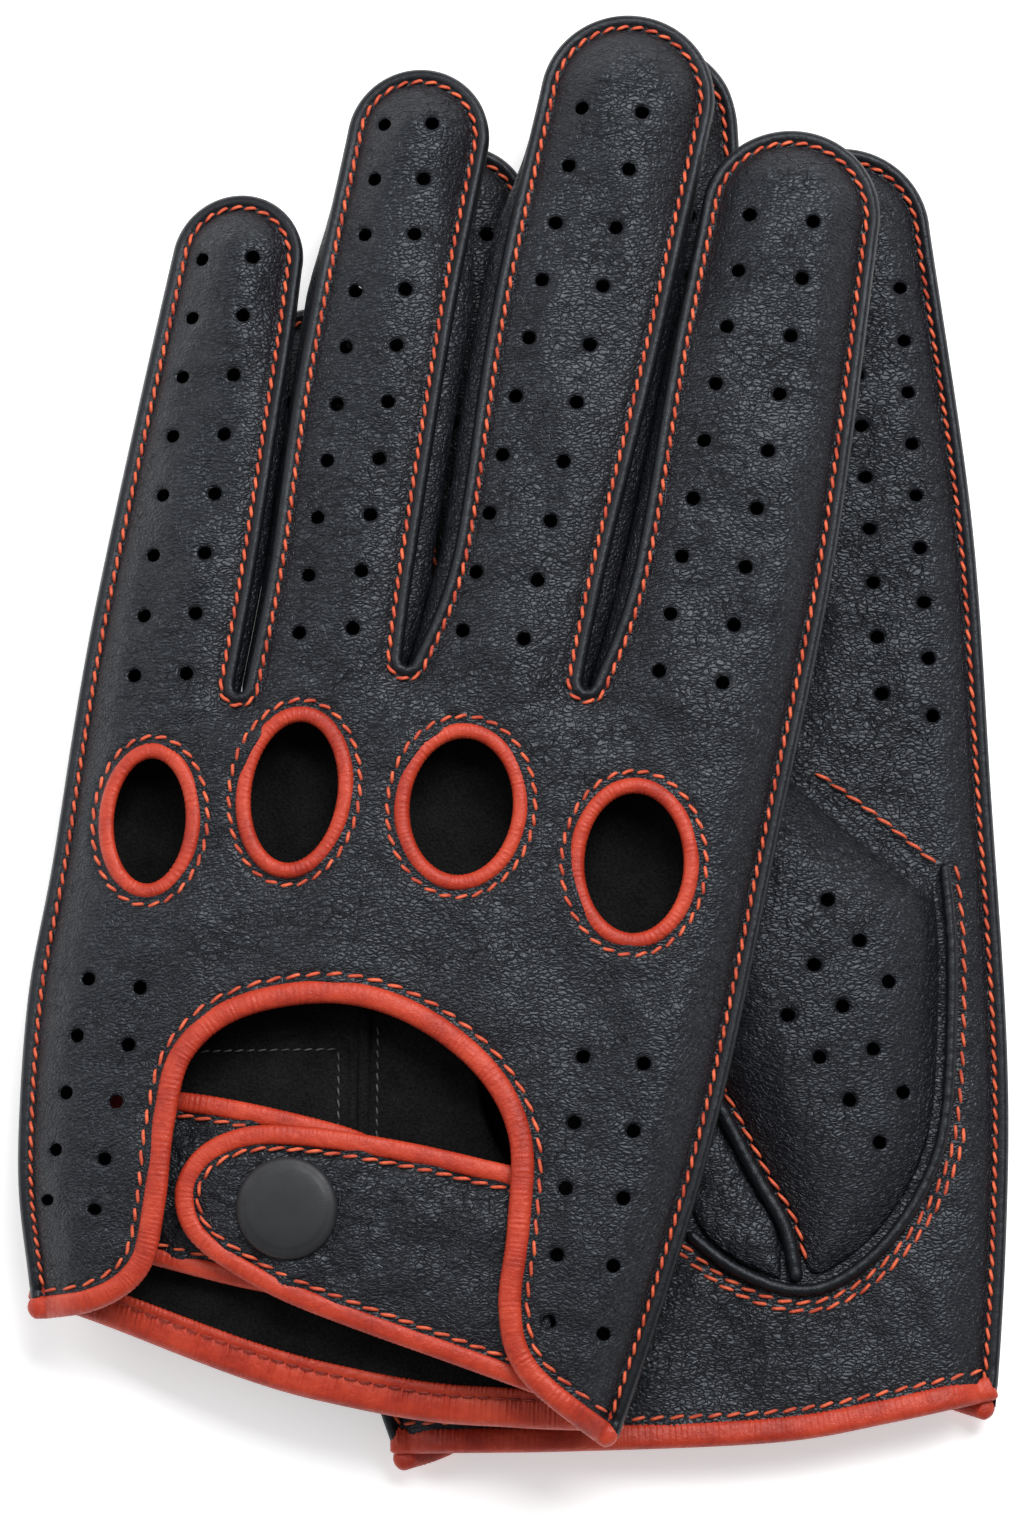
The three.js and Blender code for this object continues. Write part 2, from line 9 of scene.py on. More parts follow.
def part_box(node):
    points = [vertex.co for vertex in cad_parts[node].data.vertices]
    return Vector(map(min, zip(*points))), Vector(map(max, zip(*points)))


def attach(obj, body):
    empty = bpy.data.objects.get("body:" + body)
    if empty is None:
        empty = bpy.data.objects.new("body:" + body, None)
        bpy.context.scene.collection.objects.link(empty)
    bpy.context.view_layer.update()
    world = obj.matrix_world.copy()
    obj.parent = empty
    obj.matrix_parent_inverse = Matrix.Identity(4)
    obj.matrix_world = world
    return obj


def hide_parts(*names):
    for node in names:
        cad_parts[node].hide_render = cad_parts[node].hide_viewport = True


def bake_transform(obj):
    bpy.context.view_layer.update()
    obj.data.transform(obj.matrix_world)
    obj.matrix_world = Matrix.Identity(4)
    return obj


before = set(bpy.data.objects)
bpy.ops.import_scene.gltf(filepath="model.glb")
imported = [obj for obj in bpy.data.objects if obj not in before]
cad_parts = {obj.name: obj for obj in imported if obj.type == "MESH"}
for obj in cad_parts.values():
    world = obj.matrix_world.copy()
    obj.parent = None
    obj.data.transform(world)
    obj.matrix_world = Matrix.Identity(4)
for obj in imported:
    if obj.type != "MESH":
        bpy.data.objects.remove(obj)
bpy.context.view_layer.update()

MM = 0.001

# ---- sizes, in millimetres

LEATHER = 1.1                # leather thickness
BACK_HEIGHT = 6.0            # outer face of the back above the seam plane
PALM_HEIGHT = 4.5            # outer face of the palm below the seam plane
LIP_MIDDLE = 0.98            # middle of the rolled lip outside the stitches
BACK_RIM = 3.3               # inner face of the back over a finger's side wall
PALM_RIM = 2.4               # inner face of the palm over a finger's side wall
THUMB_HEIGHT = 11.7          # outer face of the folded thumb below the seam plane
THUMB_ROOT_HEIGHT = 8.6      # the same at the thumb's root
RIM_RISE = 28.0              # length over which a side wall grows from the fingertip
SEAM_INSET = 2.15            # stitch line from the sewn edge
LIP_HEIGHT = 0.55
SEAM_DEPTH = 0.6             # depth of the groove that the seam's stitches pull in
STITCH_DEPTH = 0.4           # the same for single-layer rows
GROOVE_WIDTH = 0.42
CROWN_WIDTH = 9.5            # distance over which the back swells up from its seam
PALM_CROWN_WIDTH = 9
STITCH_PITCH = 2.8           # from one stitch to the next, on each kind of row
SEAM_PITCH = 2.25
CUFF_PITCH = 3.1
RING_PITCH = 2.45
CUFF_STITCH = 1.15           # stitch lines from the edges of the cuff, hem, knuckle holes and tabs
HEM_STITCH = 4.1
BAND_STITCH = 3.6
HEM_ROW_END = 2.4            # the rows along a hem end this far from the side seams
RING_STITCH = 1.2
TAB_STITCH = 3.6
STITCH_SHARE = 0.97          # the part of the pitch that one stitch fills
STITCH_RADIUS = 0.29
STITCH_LIFT = 0.2            # how far a stitch's middle stands above the leather, and its ends sink in
END_DEPTH = 0.7
RIBS = (0.45, 1.1)           # lengths of the fine ribs across the tapes
RIB_STEP = 0.16              # point spacing along a ribbed tape
FOLD_WAVES = 24              # waves that make up the folds of a tape
RING_TAPE = (2.4, 2.3)       # width and height of each tape, across the edge it covers
CUFF_TAPE = (3.5, 2.6)
TAB_TAPE = (3.0, 2.0)
HOLE_LAP = 1.0               # the leather reaches this far into the tape of a knuckle hole
CUFF_LAP = 1.2               # the same at the cuff
CUFF_TAPE_AT = 1.5           # middle of the cuff's tape outside the cuff's edge
TAB_INSET = 1.6              # a tab's leather and the middle of its tape, inside the tab's edge
TAB_TAPE_AT = 1.45
HEM_BAND = (-0.6, 3.1, 5.3)  # fold, outer and inner edge of the hem band, from the hem
SPACING = 1.05               # mesh spacing on open leather
RIM_LINES = (0.45, 1.05, 1.65, 2.3, 3.0, 3.8)    # mesh lines inside a panel's edge
HOLE_LINES = (0.45, 1.2, 2.1, 3.0, 3.9)          # the same round a hole
PERFORATION_LINES = (0.45, 1.1)                  # the same round a perforation
CLEARANCE = 0.4              # no loose mesh point lies nearer to an edge
OPEN_LEATHER = 4.3           # the plain grid starts this far from an edge
FAR = 99.0                   # farther than any point is from an edge
EDGE_STEP = 0.7              # point spacing along a panel's edge
LINE_STEP = 0.8              # the same along its holes and inner mesh lines
MESH_CELL = 0.42             # at most one loose mesh point lies in a cell of this size
EDGE_ROUNDING = 0.36         # how far both faces turn in at a cut edge

RIGHT_SIDE = [(46.1, -0.4), (50.2, 28.6), (52.5, 56), (53.2, 96), (53.6, 140), (50.7, 189.8)]
LEFT_SIDE = [(-56.2, 168.6), (-56.9, 110), (-55.5, 72), (-55.0, 49.7), (-51.0, 22), (-45.9, 1.8)]
HEM_RUN_OUT = 14             # the outline carries on this far below the cuff, where it is cut off
HEM_SPREAD = (3.6, 4)        # how far it runs inwards there, at the thumb's side and the other
FINGERS = {
    "index": {"tip": (37.0, 189.8), "radius": 13.7},
    "middle": {"tip": (8.8, 203.6), "radius": 13.4},
    "ring": {"tip": (-21.8, 191.8), "radius": 11.0},
    "pinky": {"tip": (-45.9, 168.6), "radius": 10.3},
}
FORKS = [
    {
        "name": "index_middle", "bottom": (20.6, 111.4),
        "down": [(23.4, 165), (24.1, 130)], "up": [(20.0, 130), (21.5, 165)],
    },
    {
        "name": "middle_ring", "bottom": (-7.0, 109.8),
        "down": [(-4.9, 165), (-3.3, 128)], "up": [(-8.8, 126), (-10.4, 165)],
    },
    {
        "name": "ring_pinky", "bottom": (-31.6, 101.4),
        "down": [(-32.4, 150), (-30.8, 122)], "up": [(-32.8, 122), (-34.2, 150)],
    },
]
FORK_RADIUS = 0.8
MOST_PUFF = 2.4              # how far a side wall puffs out into the gap between two fingers
WALL_STEP = 0.9              # point spacing along it
FORK_LIFT = 0.9              # centre of a fork's round end above its bottom

CUFF_EDGE = [
    (-46.4, 1.4), (-37, 4.4), (-31, 11.3), (-30.4, 22.5), (-31.3, 35), (-30.4, 46.4), (-23, 55.2),
    (-8.9, 60.4), (4.5, 59.6), (17.4, 53.3), (25.2, 43.4), (27.7, 29), (28.6, 17.5), (33, 9.4), (46.8, 2.2),
]
PALM_EDGE = [(-46.4, 1.8), (-20, 0.1), (12, -0.9), (30, 0.8), (47.4, 3.4)]
KNUCKLES = {
    "pinky": {"at": (-41.1, 79.8), "radii": (7.8, 11.8), "lean": 9},
    "ring": {"at": (-19.9, 87.8), "radii": (8.8, 13.0), "lean": 4},
    "middle": {"at": (5.5, 90.2), "radii": (10.0, 12.6), "lean": 6},
    "index": {"at": (32.8, 86.6), "radii": (9.7, 12.8), "lean": 10},
}
OVERLAP_EDGE = [
    (22, 38.4), (8, 38.9), (-8, 38.4), (-18, 36.4), (-24.4, 31.6), (-26.2, 24.6), (-22.4, 17.6),
    (-12.2, 13.2), (2, 10.4), (22, 7.3),
]
UNDERLAP_EDGE = [
    (-27.4, 12.2), (-12, 12.6), (1, 14), (8, 20), (8, 33), (2, 38.6), (-10, 40.2), (-27.4, 40.4),
]
OVERLAP_LEVEL = 3.0          # underside of the upper tab
UNDERLAP_LEVEL = -0.5        # underside of the lower tab
TAB_LEATHER = 1.0
THIN_LEATHER = 0.7           # thumb back and side walls
TAB_ROOT = 7.0               # length of a tab's root tucked under the back panel
UPPER_TAB = (OVERLAP_EDGE, OVERLAP_LEVEL, TAB_ROOT)
LOWER_TAB = (UNDERLAP_EDGE, UNDERLAP_LEVEL, -TAB_ROOT)
SNAP_AT = (-8.9, 25.7)
SNAP_RADIUS = 7.8
PUCKERS = 34                 # creases round the snap
TAB_SPACING = 0.5            # mesh spacing on the tabs and the gusset

THUMB_EDGE = [
    (42.9, 82), (42.9, 70), (40.4, 48.8), (37, 38.5), (30.4, 29.6), (22.9, 24.4), (19.3, 24.4), (18, 31.6),
    (14.3, 39.9), (9.4, 51.4), (-1, 74.8), (-11.7, 96.6),
]
THUMB_TIP = {"centre": (-4.5, 110.6), "radius": 12.2, "start": 210, "end": 62}
THUMB_WEB = [(14.7, 109.6), (25.8, 98.4)]
THUMB_HOLE = {"at": (26.7, 54.5), "radii": (12, 19), "lean": 15}
THUMB_AXIS = np.array((-0.512, 0.858))
WELT_PATH = [
    (44.9, 85), (44.9, 70), (42.4, 48), (38.6, 37), (31.5, 27.7), (23.3, 22.2), (16.1, 21.6), (8, 25.4),
    (1.3, 31.4),
]
GUSSET_WELT_PATH = [(17.4, 22.6), (16.2, 31), (12.3, 39.4), (7.3, 51), (1.2, 64.5), (-6, 80)]
THUMB_SEAM = [(42.2, 83.6), (34, 91.4), (25, 99)]    # stitches beside the thumb's web
GUSSET_EDGE = [
    (15.0, 23.2), (8.7, 26.6), (3.4, 32), (0.6, 42), (-3, 60), (-9, 76), (-7, 79), (0.6, 62), (6.4, 49),
    (11.4, 38), (15, 30.4),
]
PATCH_EDGE = [(-37, 29), (-0.6, 29), (-5.2, 53), (-37, 47)]
LINING_FOLD = [(-3.6, 58), (1.4, 30)]
PATCH_THICKNESS = 0.7
PATCH_ROWS = [               # two stitch lines on the patch and one on the bare lining, and their levels
    ([(-36, 45.4), (-6.6, 51.2)], 0.62),
    ([(-6.3, 51), (-2.2, 30)], 0.62),
    ([(-1.2, 56), (3.2, 32)], 0.02),
]

# Rows of perforations: first and last hole of each column, and how many rows
BACK_HOLES = [
    ((-51, 167.4), (-48, 101.5), 8), ((-43, 168.6), (-40, 103), 8),
    ((-27, 192.5), (-24, 112), 10), ((-19.6, 193.6), (-16, 114), 10),
    ((2.6, 200), (0.5, 116.7), 10), ((11.8, 201), (10, 117), 10),
    ((31, 188.3), (31, 116), 9), ((40.8, 188.8), (40.8, 116), 9),
    ((-45.6, 54.5), (-45.6, 19.4), 5), ((-37.4, 54.5), (-37.8, 19.2), 5),
    ((30.8, 56.4), (33.2, 16.4), 5), ((40, 57), (41.6, 16.2), 5),
]
PALM_HOLES = [
    ((37.6, 183.5), (37.4, 112), 9), ((45.2, 180), (45, 108), 9),
    ((4.4, 198), (3, 122), 9), ((13.4, 198), (12.4, 122), 9),
    ((-26.4, 188), (-24.4, 120), 8), ((-18, 188), (-16.4, 120), 8),
    ((-50, 164), (-47.6, 110), 7), ((-42, 164), (-39.6, 110), 7),
]
THUMB_HOLES = [
    (26.3, 80.1), (30.7, 73.6), (23.5, 70.4), (34.7, 67.1), (18.9, 63), (27.4, 63.8), (31.6, 57),
    (23.3, 56.3), (35.7, 50.2), (27.4, 49.5), (31.5, 42.8),
]
HOLE_RADIUS = 1.05
HOLE_ROOM = (0.3, 1.6)       # mesh lines, and the plain grid, start this far outside a perforation
THUMB_FAN = {"at": (20, 34), "radius": 21, "width": 8}    # folds in the palm round the thumb's root

# How the pair lies
SAG_SIDE = {"start": 0, "reach": 55, "depth": 9}
SAG_TIP = {"start": 90, "reach": 125, "depth": 7}
SAG_HEM = {"start": 50, "reach": 50, "depth": 5}
CORNER_PULL = 4.2            # the upper glove's cuff is pulled up at the little finger's side
INDEX_TUCK = 5.5             # the lower glove's index finger is slightly gathered
REST_CUSHION = 0.5           # height over which the lower glove's back is pressed flat
LAY = {
    "left": {"yaw": -11, "roll": -3, "at": (0, 0, 26.4)},
    "right": {"yaw": 4.2, "roll": 0, "at": (57.8, -7, BACK_HEIGHT)},
}

# Where each tab would start and stop bending when it opens, in the flat glove frame. Nothing here bends a
# tab: the points are placed but not used, and the keys tell the tab parts.
HINGES = {
    "strap": ((25.2, 23, 3.4), (17.0, 23, 3.4)),
    "underlap": ((-29.4, 26, 0), (-21.5, 26, 0)),
}

# How it is seen
ELEVATION = 83.5             # degrees above the floor
DISTANCE = 1.3               # metres
LENS = 200.7                 # millimetres
SENSOR = 36
AIM = (30.0, 94.0, 27)       # middle of the pair, from the middle of the left cuff
SKY = 0.30
SKY_COLOR = (0.95, 0.975, 1, 1)
KEY = {"at": (0.30, 0.60, 1.12), "size": 0.75, "power": 20}    # places in metres, power in watts
FILL = {"at": (-0.7, 0.25, 0.7), "size": 0.6, "power": 3}
FLOOR_GLOW = 0.42

# ---- plane curves


def spline(points, step=0.5):
    """A smooth curve through control points, as points about one step apart."""
    p = np.array(points, float)
    before = np.vstack([p[:1], p[:-2]])
    after = np.vstack([p[2:], p[-1:]])
    t = np.linspace(0, 1, 40, endpoint=False)[:, None]
    parts = []
    for i in range(len(p) - 1):
        a, b = p[i], p[i + 1]
        va, vb = (b - before[i]) / 2, (after[i] - a) / 2
        parts.append((2 * a - 2 * b + va + vb) * t**3 + (-3 * a + 3 * b - 2 * va - vb) * t**2 + va * t + a)
    return resample(np.vstack([*parts, p[-1:]]), step)


def resample(path, step):
    """The same path with evenly spaced points, about one step apart."""
    along = arc_length(path)
    count = max(2, int(round(along[-1] / step)) + 1)
    at = np.linspace(0, along[-1], count)
    return np.column_stack([np.interp(at, along, path[:, k]) for k in range(path.shape[1])])


def arc_length(path):
    return np.concatenate([[0], np.cumsum(np.linalg.norm(np.diff(path, axis=0), axis=1))])


def evened(loop, step):
    """A closed loop with evenly spaced points."""
    return resample(np.vstack([loop, loop[:1]]), step)[:-1]


def on_circle(centre, radius, angles):
    return np.column_stack([centre[0] + radius * np.cos(angles), centre[1] + radius * np.sin(angles)])


def circle(centre, radius, sides=12):
    return on_circle(centre, radius, np.linspace(0, 2 * math.pi, sides, endpoint=False))


def arc(centre, radius, start, end, step=0.5):
    count = max(3, int(abs(math.radians(end - start)) * radius / step))
    return on_circle(centre, radius, np.radians(np.linspace(start, end, count + 1)))


def ellipse(at, radii, lean, step=0.5, grow=0.0):
    """A closed ellipse, grown by a margin, whose top leans towards the little finger."""
    count = max(12, int(math.pi * (radii[0] + radii[1] + 2 * grow) / step))
    a = np.linspace(0, 2 * math.pi, count, endpoint=False)
    x, y = (radii[0] + grow) * np.cos(a), (radii[1] + grow) * np.sin(a)
    c, s = math.cos(math.radians(lean)), math.sin(math.radians(lean))
    return np.column_stack([at[0] + c * x - s * y, at[1] + s * x + c * y])


def left_normals(path, closed=False):
    """Unit normals to the left of a path: inwards on a counter-clockwise loop."""
    if closed:
        along = np.roll(path, -1, axis=0) - np.roll(path, 1, axis=0)
    else:
        along = np.gradient(path, axis=0)
    along = along / np.maximum(np.linalg.norm(along, axis=1, keepdims=True), 1e-9)
    return np.column_stack([-along[:, 1], along[:, 0]])


def offset(path, distance, closed=False):
    return path + left_normals(path, closed) * distance


class Edge:
    """A path that tells how far points are from it, positive on its left."""

    def __init__(self, path, closed=False, values=None):
        self.path = path
        self.normals = left_normals(path, closed)
        self.along = arc_length(path)
        self.values = values
        self.closed = closed
        self.tree = KDTree(len(path))
        for i, (x, y) in enumerate(path):
            self.tree.insert((x, y, 0), i)
        self.tree.balance()

    def near(self, points):
        """Signed distance and the index of the nearest path point, for each point."""
        index = np.array([self.tree.find((x, y, 0))[1] for x, y in points], int)
        distance = np.full(len(points), np.inf)
        for side in (-1, 1):
            other = index + side
            if self.closed:
                other = other % len(self.path)
            else:
                other = np.clip(other, 0, len(self.path) - 1)
            a, b = self.path[index], self.path[other]
            run = b - a
            size = np.maximum((run**2).sum(1), 1e-12)
            part = np.clip(((points - a) * run).sum(1) / size, 0, 1)
            distance = np.minimum(distance, np.linalg.norm(points - a - run * part[:, None], axis=1))
        side = ((points - self.path[index]) * self.normals[index]).sum(1)
        return np.where(side < 0, -distance, distance), index


def smoothstep(x):
    x = np.clip(x, 0, 1)
    return x * x * (3 - 2 * x)


def bump(x, centre, width):
    """A smooth hump of height 1 at centre."""
    return np.exp(-(((x - centre) / width) ** 2))


class Ripple:
    """Smooth random waves over the plane, of about unit height and a given wavelength."""

    def __init__(self, seed, wavelength, stretch=1.0):
        random = np.random.default_rng(seed)
        angle = random.uniform(0, 2 * math.pi, 14)
        size = 2 * math.pi / wavelength * random.uniform(0.6, 1.5, 14)
        self.waves = np.column_stack([np.cos(angle) * size, np.sin(angle) * size / stretch])
        self.phase = random.uniform(0, 2 * math.pi, 14)

    def __call__(self, points):
        return np.sin(points @ self.waves.T + self.phase).sum(1) / math.sqrt(7)


# ---- the hand's outline


def hand_outline():
    """The sewn outline, counter-clockwise, with the share of full side-wall height at each point."""
    parts, shares = [], []

    def add(path, share):
        parts.append(path[:-1])
        shares.append(share[:-1])

    def shoulder(finger, way):
        """Where a finger's round tip meets its side: way is 1 towards the thumb, -1 away from it."""
        x, y = finger["tip"]
        return (x + way * finger["radius"], y)

    def wall(path, finger):
        return smoothstep((finger["tip"][1] - path[:, 1]) / RIM_RISE)

    right = spline([(RIGHT_SIDE[0][0] - HEM_SPREAD[0], RIGHT_SIDE[0][1] - HEM_RUN_OUT), *RIGHT_SIDE])
    add(right, np.zeros(len(right)))
    fingers = list(FINGERS.values())
    for i, finger in enumerate(fingers):
        tip = arc(finger["tip"], finger["radius"], 0, 180)
        add(tip, np.zeros(len(tip)))
        if i == len(FORKS):
            break
        fork, after = FORKS[i], fingers[i + 1]
        x, y = fork["bottom"]
        y += FORK_LIFT
        down = spline([shoulder(finger, -1), *fork["down"], (x + FORK_RADIUS, y)])
        bend = arc((x, y), FORK_RADIUS, 0, -180, 0.3)
        up = spline([(x - FORK_RADIUS, y), *fork["up"], shoulder(after, 1)])
        add(down, wall(down, finger))
        add(bend, np.ones(len(bend)))
        add(up, wall(up, after))
    left = spline([*LEFT_SIDE, (LEFT_SIDE[-1][0] + HEM_SPREAD[1], LEFT_SIDE[-1][1] - HEM_RUN_OUT)])
    add(left, np.zeros(len(left)))
    return np.vstack(parts), np.concatenate(shares)


hand_path, hand_shares = hand_outline()
HAND = Edge(hand_path, values=hand_shares)
CUFF = Edge(spline(CUFF_EDGE))
PALM_HEM = Edge(spline(PALM_EDGE))
KNUCKLE_EDGES = [Edge(ellipse(**hole), closed=True) for hole in KNUCKLES.values()]
back_ripple = Ripple(3, 26)
palm_ripple = Ripple(11, 22)
fine_ripple = Ripple(5, 9)


def trimmed_loop(hem, overlap):
    """The sewn outline above a hem, closed along the hem. overlap moves the hem into its binding."""
    hem_path = offset(hem.path, -overlap)
    hem_edge = Edge(hem_path)
    corner_gap = 0.25
    inside = HAND.near(hem_path)[0] > corner_gap
    above = hem_edge.near(HAND.path)[0] > corner_gap
    return np.vstack([HAND.path[above], hem_path[inside]])


def rim_level(share, full):
    """Height of a panel's inner face at its seam, which the side walls lift."""
    return 0.12 + (full - 0.12) * share


def crown(distance, width, start=SEAM_INSET + 0.2, power=2.5):
    """How far a panel has swollen up at a distance from its seam, from 0 to 1."""
    return 1 - (1 - np.clip((distance - start) / width, 0, 1)) ** power


def seam_shape(distance):
    """A sewn edge: a rolled lip outside the groove that its stitches pull in."""
    lip = np.sqrt(np.clip(1 - ((distance - LIP_MIDDLE) / LIP_MIDDLE) ** 2, 0, 1))
    return LIP_HEIGHT * lip - SEAM_DEPTH * bump(distance, SEAM_INSET, GROOVE_WIDTH)


def polar(points, centre):
    """Distance of each point from a centre, and its angle from straight down towards +X."""
    away = points - np.array(centre)
    return np.linalg.norm(away, axis=1) + 1e-6, np.arctan2(away[:, 0], -away[:, 1])


def fork_creases(points):
    """Fine folds that run down from the forks between the fingers."""
    fold = np.zeros(len(points))
    for i, fork in enumerate(FORKS):
        radius, angle = polar(points, fork["bottom"])
        wave = np.sin(angle * 15 + 0.3 * radius + i) * np.exp(-(((radius - 8) / 7) ** 2))
        fold += wave * (np.abs(angle) < 1.3)
    return 0.19 * fold


def thumb_creases(points):
    """Folds in the palm that fan out below the thumb's root."""
    radius, angle = polar(points, THUMB_FAN["at"])
    wave = np.sin(angle * 17 + 0.22 * radius) + 0.6 * np.sin(angle * 29 - 0.3 * radius)
    return 0.17 * wave * bump(radius, THUMB_FAN["radius"], THUMB_FAN["width"]) * (np.abs(angle) < 1.9)


def swollen(points, rim_height, height, width):
    """Distance from the seam, and the smooth level of a panel's outer face."""
    distance, index = HAND.near(points)
    rim = rim_level(HAND.values[index], rim_height) + LEATHER
    return distance, rim + (height - rim) * crown(distance, width)


def back_top(points, detail=True):
    """Height of the back's outer face."""
    distance, level = swollen(points, BACK_RIM, BACK_HEIGHT, CROWN_WIDTH)
    if not detail:
        return level
    level += seam_shape(distance)
    cuff = np.abs(CUFF.near(points)[0])
    level -= STITCH_DEPTH * bump(cuff, CUFF_STITCH, GROOVE_WIDTH)
    for edge in KNUCKLE_EDGES:
        ring = np.abs(edge.near(points)[0])
        level += 0.1 * bump(ring, 2.4, 0.8) - STITCH_DEPTH * bump(ring, RING_STITCH, GROOVE_WIDTH)
    open_leather = smoothstep((distance - 4) / 5)
    level += open_leather * (0.28 * back_ripple(points) + 0.12 * fine_ripple(points)) + fork_creases(points)
    return level


def palm_top(points, detail=True):
    """Depth of the palm's outer face below the seam plane."""
    distance, level = swollen(points, PALM_RIM, PALM_HEIGHT, PALM_CROWN_WIDTH)
    if not detail:
        return level
    level += seam_shape(distance)
    level -= 0.25 * bump(np.abs(PALM_HEM.near(points)[0]), HEM_STITCH, 0.5)
    open_leather = smoothstep((distance - 4) / 5)
    level += open_leather * (0.2 * palm_ripple(points) + 0.1 * fine_ripple(points))
    return level + open_leather * thumb_creases(points)


# ---- shapes: points, faces, face materials


class Shape:
    """A mesh in the flat glove frame: points in mm, faces and the material number of each face."""

    def __init__(self, points, faces, slots=None):
        self.points = np.asarray(points, float)
        self.faces = faces
        self.slots = slots if slots is not None else [0] * len(faces)


def joined(shapes):
    points, faces, slots, count = [], [], [], 0
    for shape in shapes:
        points.append(shape.points)
        faces += [[i + count for i in face] for face in shape.faces]
        slots += list(shape.slots)
        count += len(shape.points)
    return Shape(np.vstack(points), faces, slots)


def lattice(low, high, step):
    """Points of a triangular grid over a box."""
    rows = np.arange(low[1], high[1], step * 0.866)
    grid = []
    for i, y in enumerate(rows):
        x = np.arange(low[0] + (step / 2 if i % 2 else 0), high[0], step)
        grid.append(np.column_stack([x, np.full(len(x), y)]))
    return np.vstack(grid)


def thinned(points, size):
    """The first of the points in each square cell of a size."""
    kept, seen = [], set()
    for x, y in points:
        cell = (int(x // size), int(y // size))
        if cell not in seen:
            seen.add(cell)
            kept.append((x, y))
    return np.array(kept).reshape(-1, 2)


def perforations(columns):
    holes = []
    for first, last, count in columns:
        for t in np.linspace(0, 1, count):
            holes.append((first[0] + (last[0] - first[0]) * t, first[1] + (last[1] - first[1]) * t))
    return holes


def to_nearest(points, centres):
    """Distance from each point to the nearest of some centres."""
    return np.min(np.linalg.norm(points[:, None, :] - centres[None], axis=2), axis=1)


def from_holes(points, holes):
    """Distance from each point to the nearest hole's edge, negative inside a hole."""
    gap = np.full(len(points), FAR)
    for hole in holes:
        gap = np.minimum(gap, -hole.near(points)[0])
    return gap


def meshed(loops, loose):
    """Points and triangles over the plane, with the sides of the loops kept as mesh lines."""
    links, start = [], 0
    for loop in loops:
        count = len(loop)
        links += [(start + i, start + (i + 1) % count) for i in range(count)]
        start += count
    plane = [Vector(point) for point in np.vstack([*loops, loose])]
    verts, _, triangles, *_ = geometry.delaunay_2d_cdt(plane, links, [], 1, 1e-6)
    return np.array([(v.x, v.y) for v in verts]), np.array(triangles, int)


def leather_sheet(
    boundary, top, side, holes=(), small_holes=(), thickness=LEATHER, step=SPACING, lines=(), rolled=None
):
    """A closed leather panel. boundary and holes are counter-clockwise loops, small_holes are the
    centres of perforations, top gives the outer face's distance from the seam plane, and side is 1
    for a panel that bulges up, -1 for one that bulges down. lines are extra paths to mesh along, and
    rolled is the sewn edge whose lip gets the third material."""
    boundary = evened(boundary, EDGE_STEP)
    edge = Edge(boundary, closed=True)
    loops = [boundary, *[evened(hole, LINE_STEP) for hole in holes]]
    hole_tests = [Edge(loop, closed=True) for loop in loops[1:]]
    centres = np.array(small_holes)
    extra = [offset(boundary, d, closed=True) for d in RIM_LINES]
    extra += [offset(loop, -d, closed=True) for loop in loops[1:] for d in HOLE_LINES]
    extra += [circle(c, HOLE_RADIUS + d) for c in small_holes for d in PERFORATION_LINES]
    extra += [resample(line, LINE_STEP) for line in lines]
    loose = np.vstack([*extra, lattice(boundary.min(0), boundary.max(0), step)])
    is_line = np.arange(len(loose)) < sum(len(e) for e in extra)
    inside, outside = edge.near(loose)[0], from_holes(loose, hole_tests)
    keep = (inside > CLEARANCE) & (outside > CLEARANCE)
    keep &= is_line | ((inside > OPEN_LEATHER) & (outside > OPEN_LEATHER))
    if small_holes:
        gap = to_nearest(loose, centres)
        near, far = HOLE_ROOM
        keep &= (gap > HOLE_RADIUS + near) & (is_line | (gap > HOLE_RADIUS + far))

    rounds = [circle(c, HOLE_RADIUS) for c in small_holes]
    flat, triangles = meshed([*loops, *rounds], thinned(loose[keep], MESH_CELL))
    middle = flat[triangles].mean(1)
    keep = (edge.near(middle)[0] > 0) & (from_holes(middle, hole_tests) > 0)
    if small_holes:
        keep &= to_nearest(middle, centres) > HOLE_RADIUS * 0.97
    triangles = triangles[keep]

    lip = np.minimum(edge.near(flat)[0], from_holes(flat, hole_tests))
    level = top(flat)
    if small_holes:
        gap = to_nearest(flat, centres) - HOLE_RADIUS
        level = level - 0.2 * np.exp(-gap / 0.8)
        lip = np.minimum(lip, gap + 0.15)
    rounding = EDGE_ROUNDING * (1 - np.clip(lip / 0.5, 0, 1)) ** 2
    outer = np.column_stack([flat, side * (level - rounding)])
    inner = np.column_stack([flat, side * (level - thickness + rounding)])
    sheet = closed_sheet(outer, inner, triangles, side)
    if rolled:
        on_lip = np.abs(rolled.near(flat[triangles].mean(1))[0]) < SEAM_INSET - 0.25
        sheet.slots[: len(triangles)] = (2 * on_lip).tolist()
        sheet.slots[2 * len(triangles):] = [2] * (len(sheet.faces) - 2 * len(triangles))
    return sheet


def closed_sheet(outer, inner, triangles, side):
    """Outer and inner faces from one triangulation, with their rims joined."""
    count = len(outer)
    a, b, c = triangles.T
    flip = np.cross(outer[b, :2] - outer[a, :2], outer[c, :2] - outer[a, :2]) < 0
    b, c = np.where(flip, c, b), np.where(flip, b, c)
    if side < 0:
        b, c = c, b
    upper = np.column_stack([a, b, c])
    lower = np.column_stack([a, c, b]) + count
    sides = dict.fromkeys((face[i], face[(i + 1) % 3]) for face in upper.tolist() for i in range(3))
    rim = [(i, j) for i, j in sides if (j, i) not in sides]
    walls = [[j, i, i + count, j + count] for i, j in rim]
    faces = upper.tolist() + lower.tolist() + walls
    slots = [0] * len(upper) + [1] * len(lower) + [0] * len(walls)
    return Shape(np.vstack([outer, inner]), faces, slots)


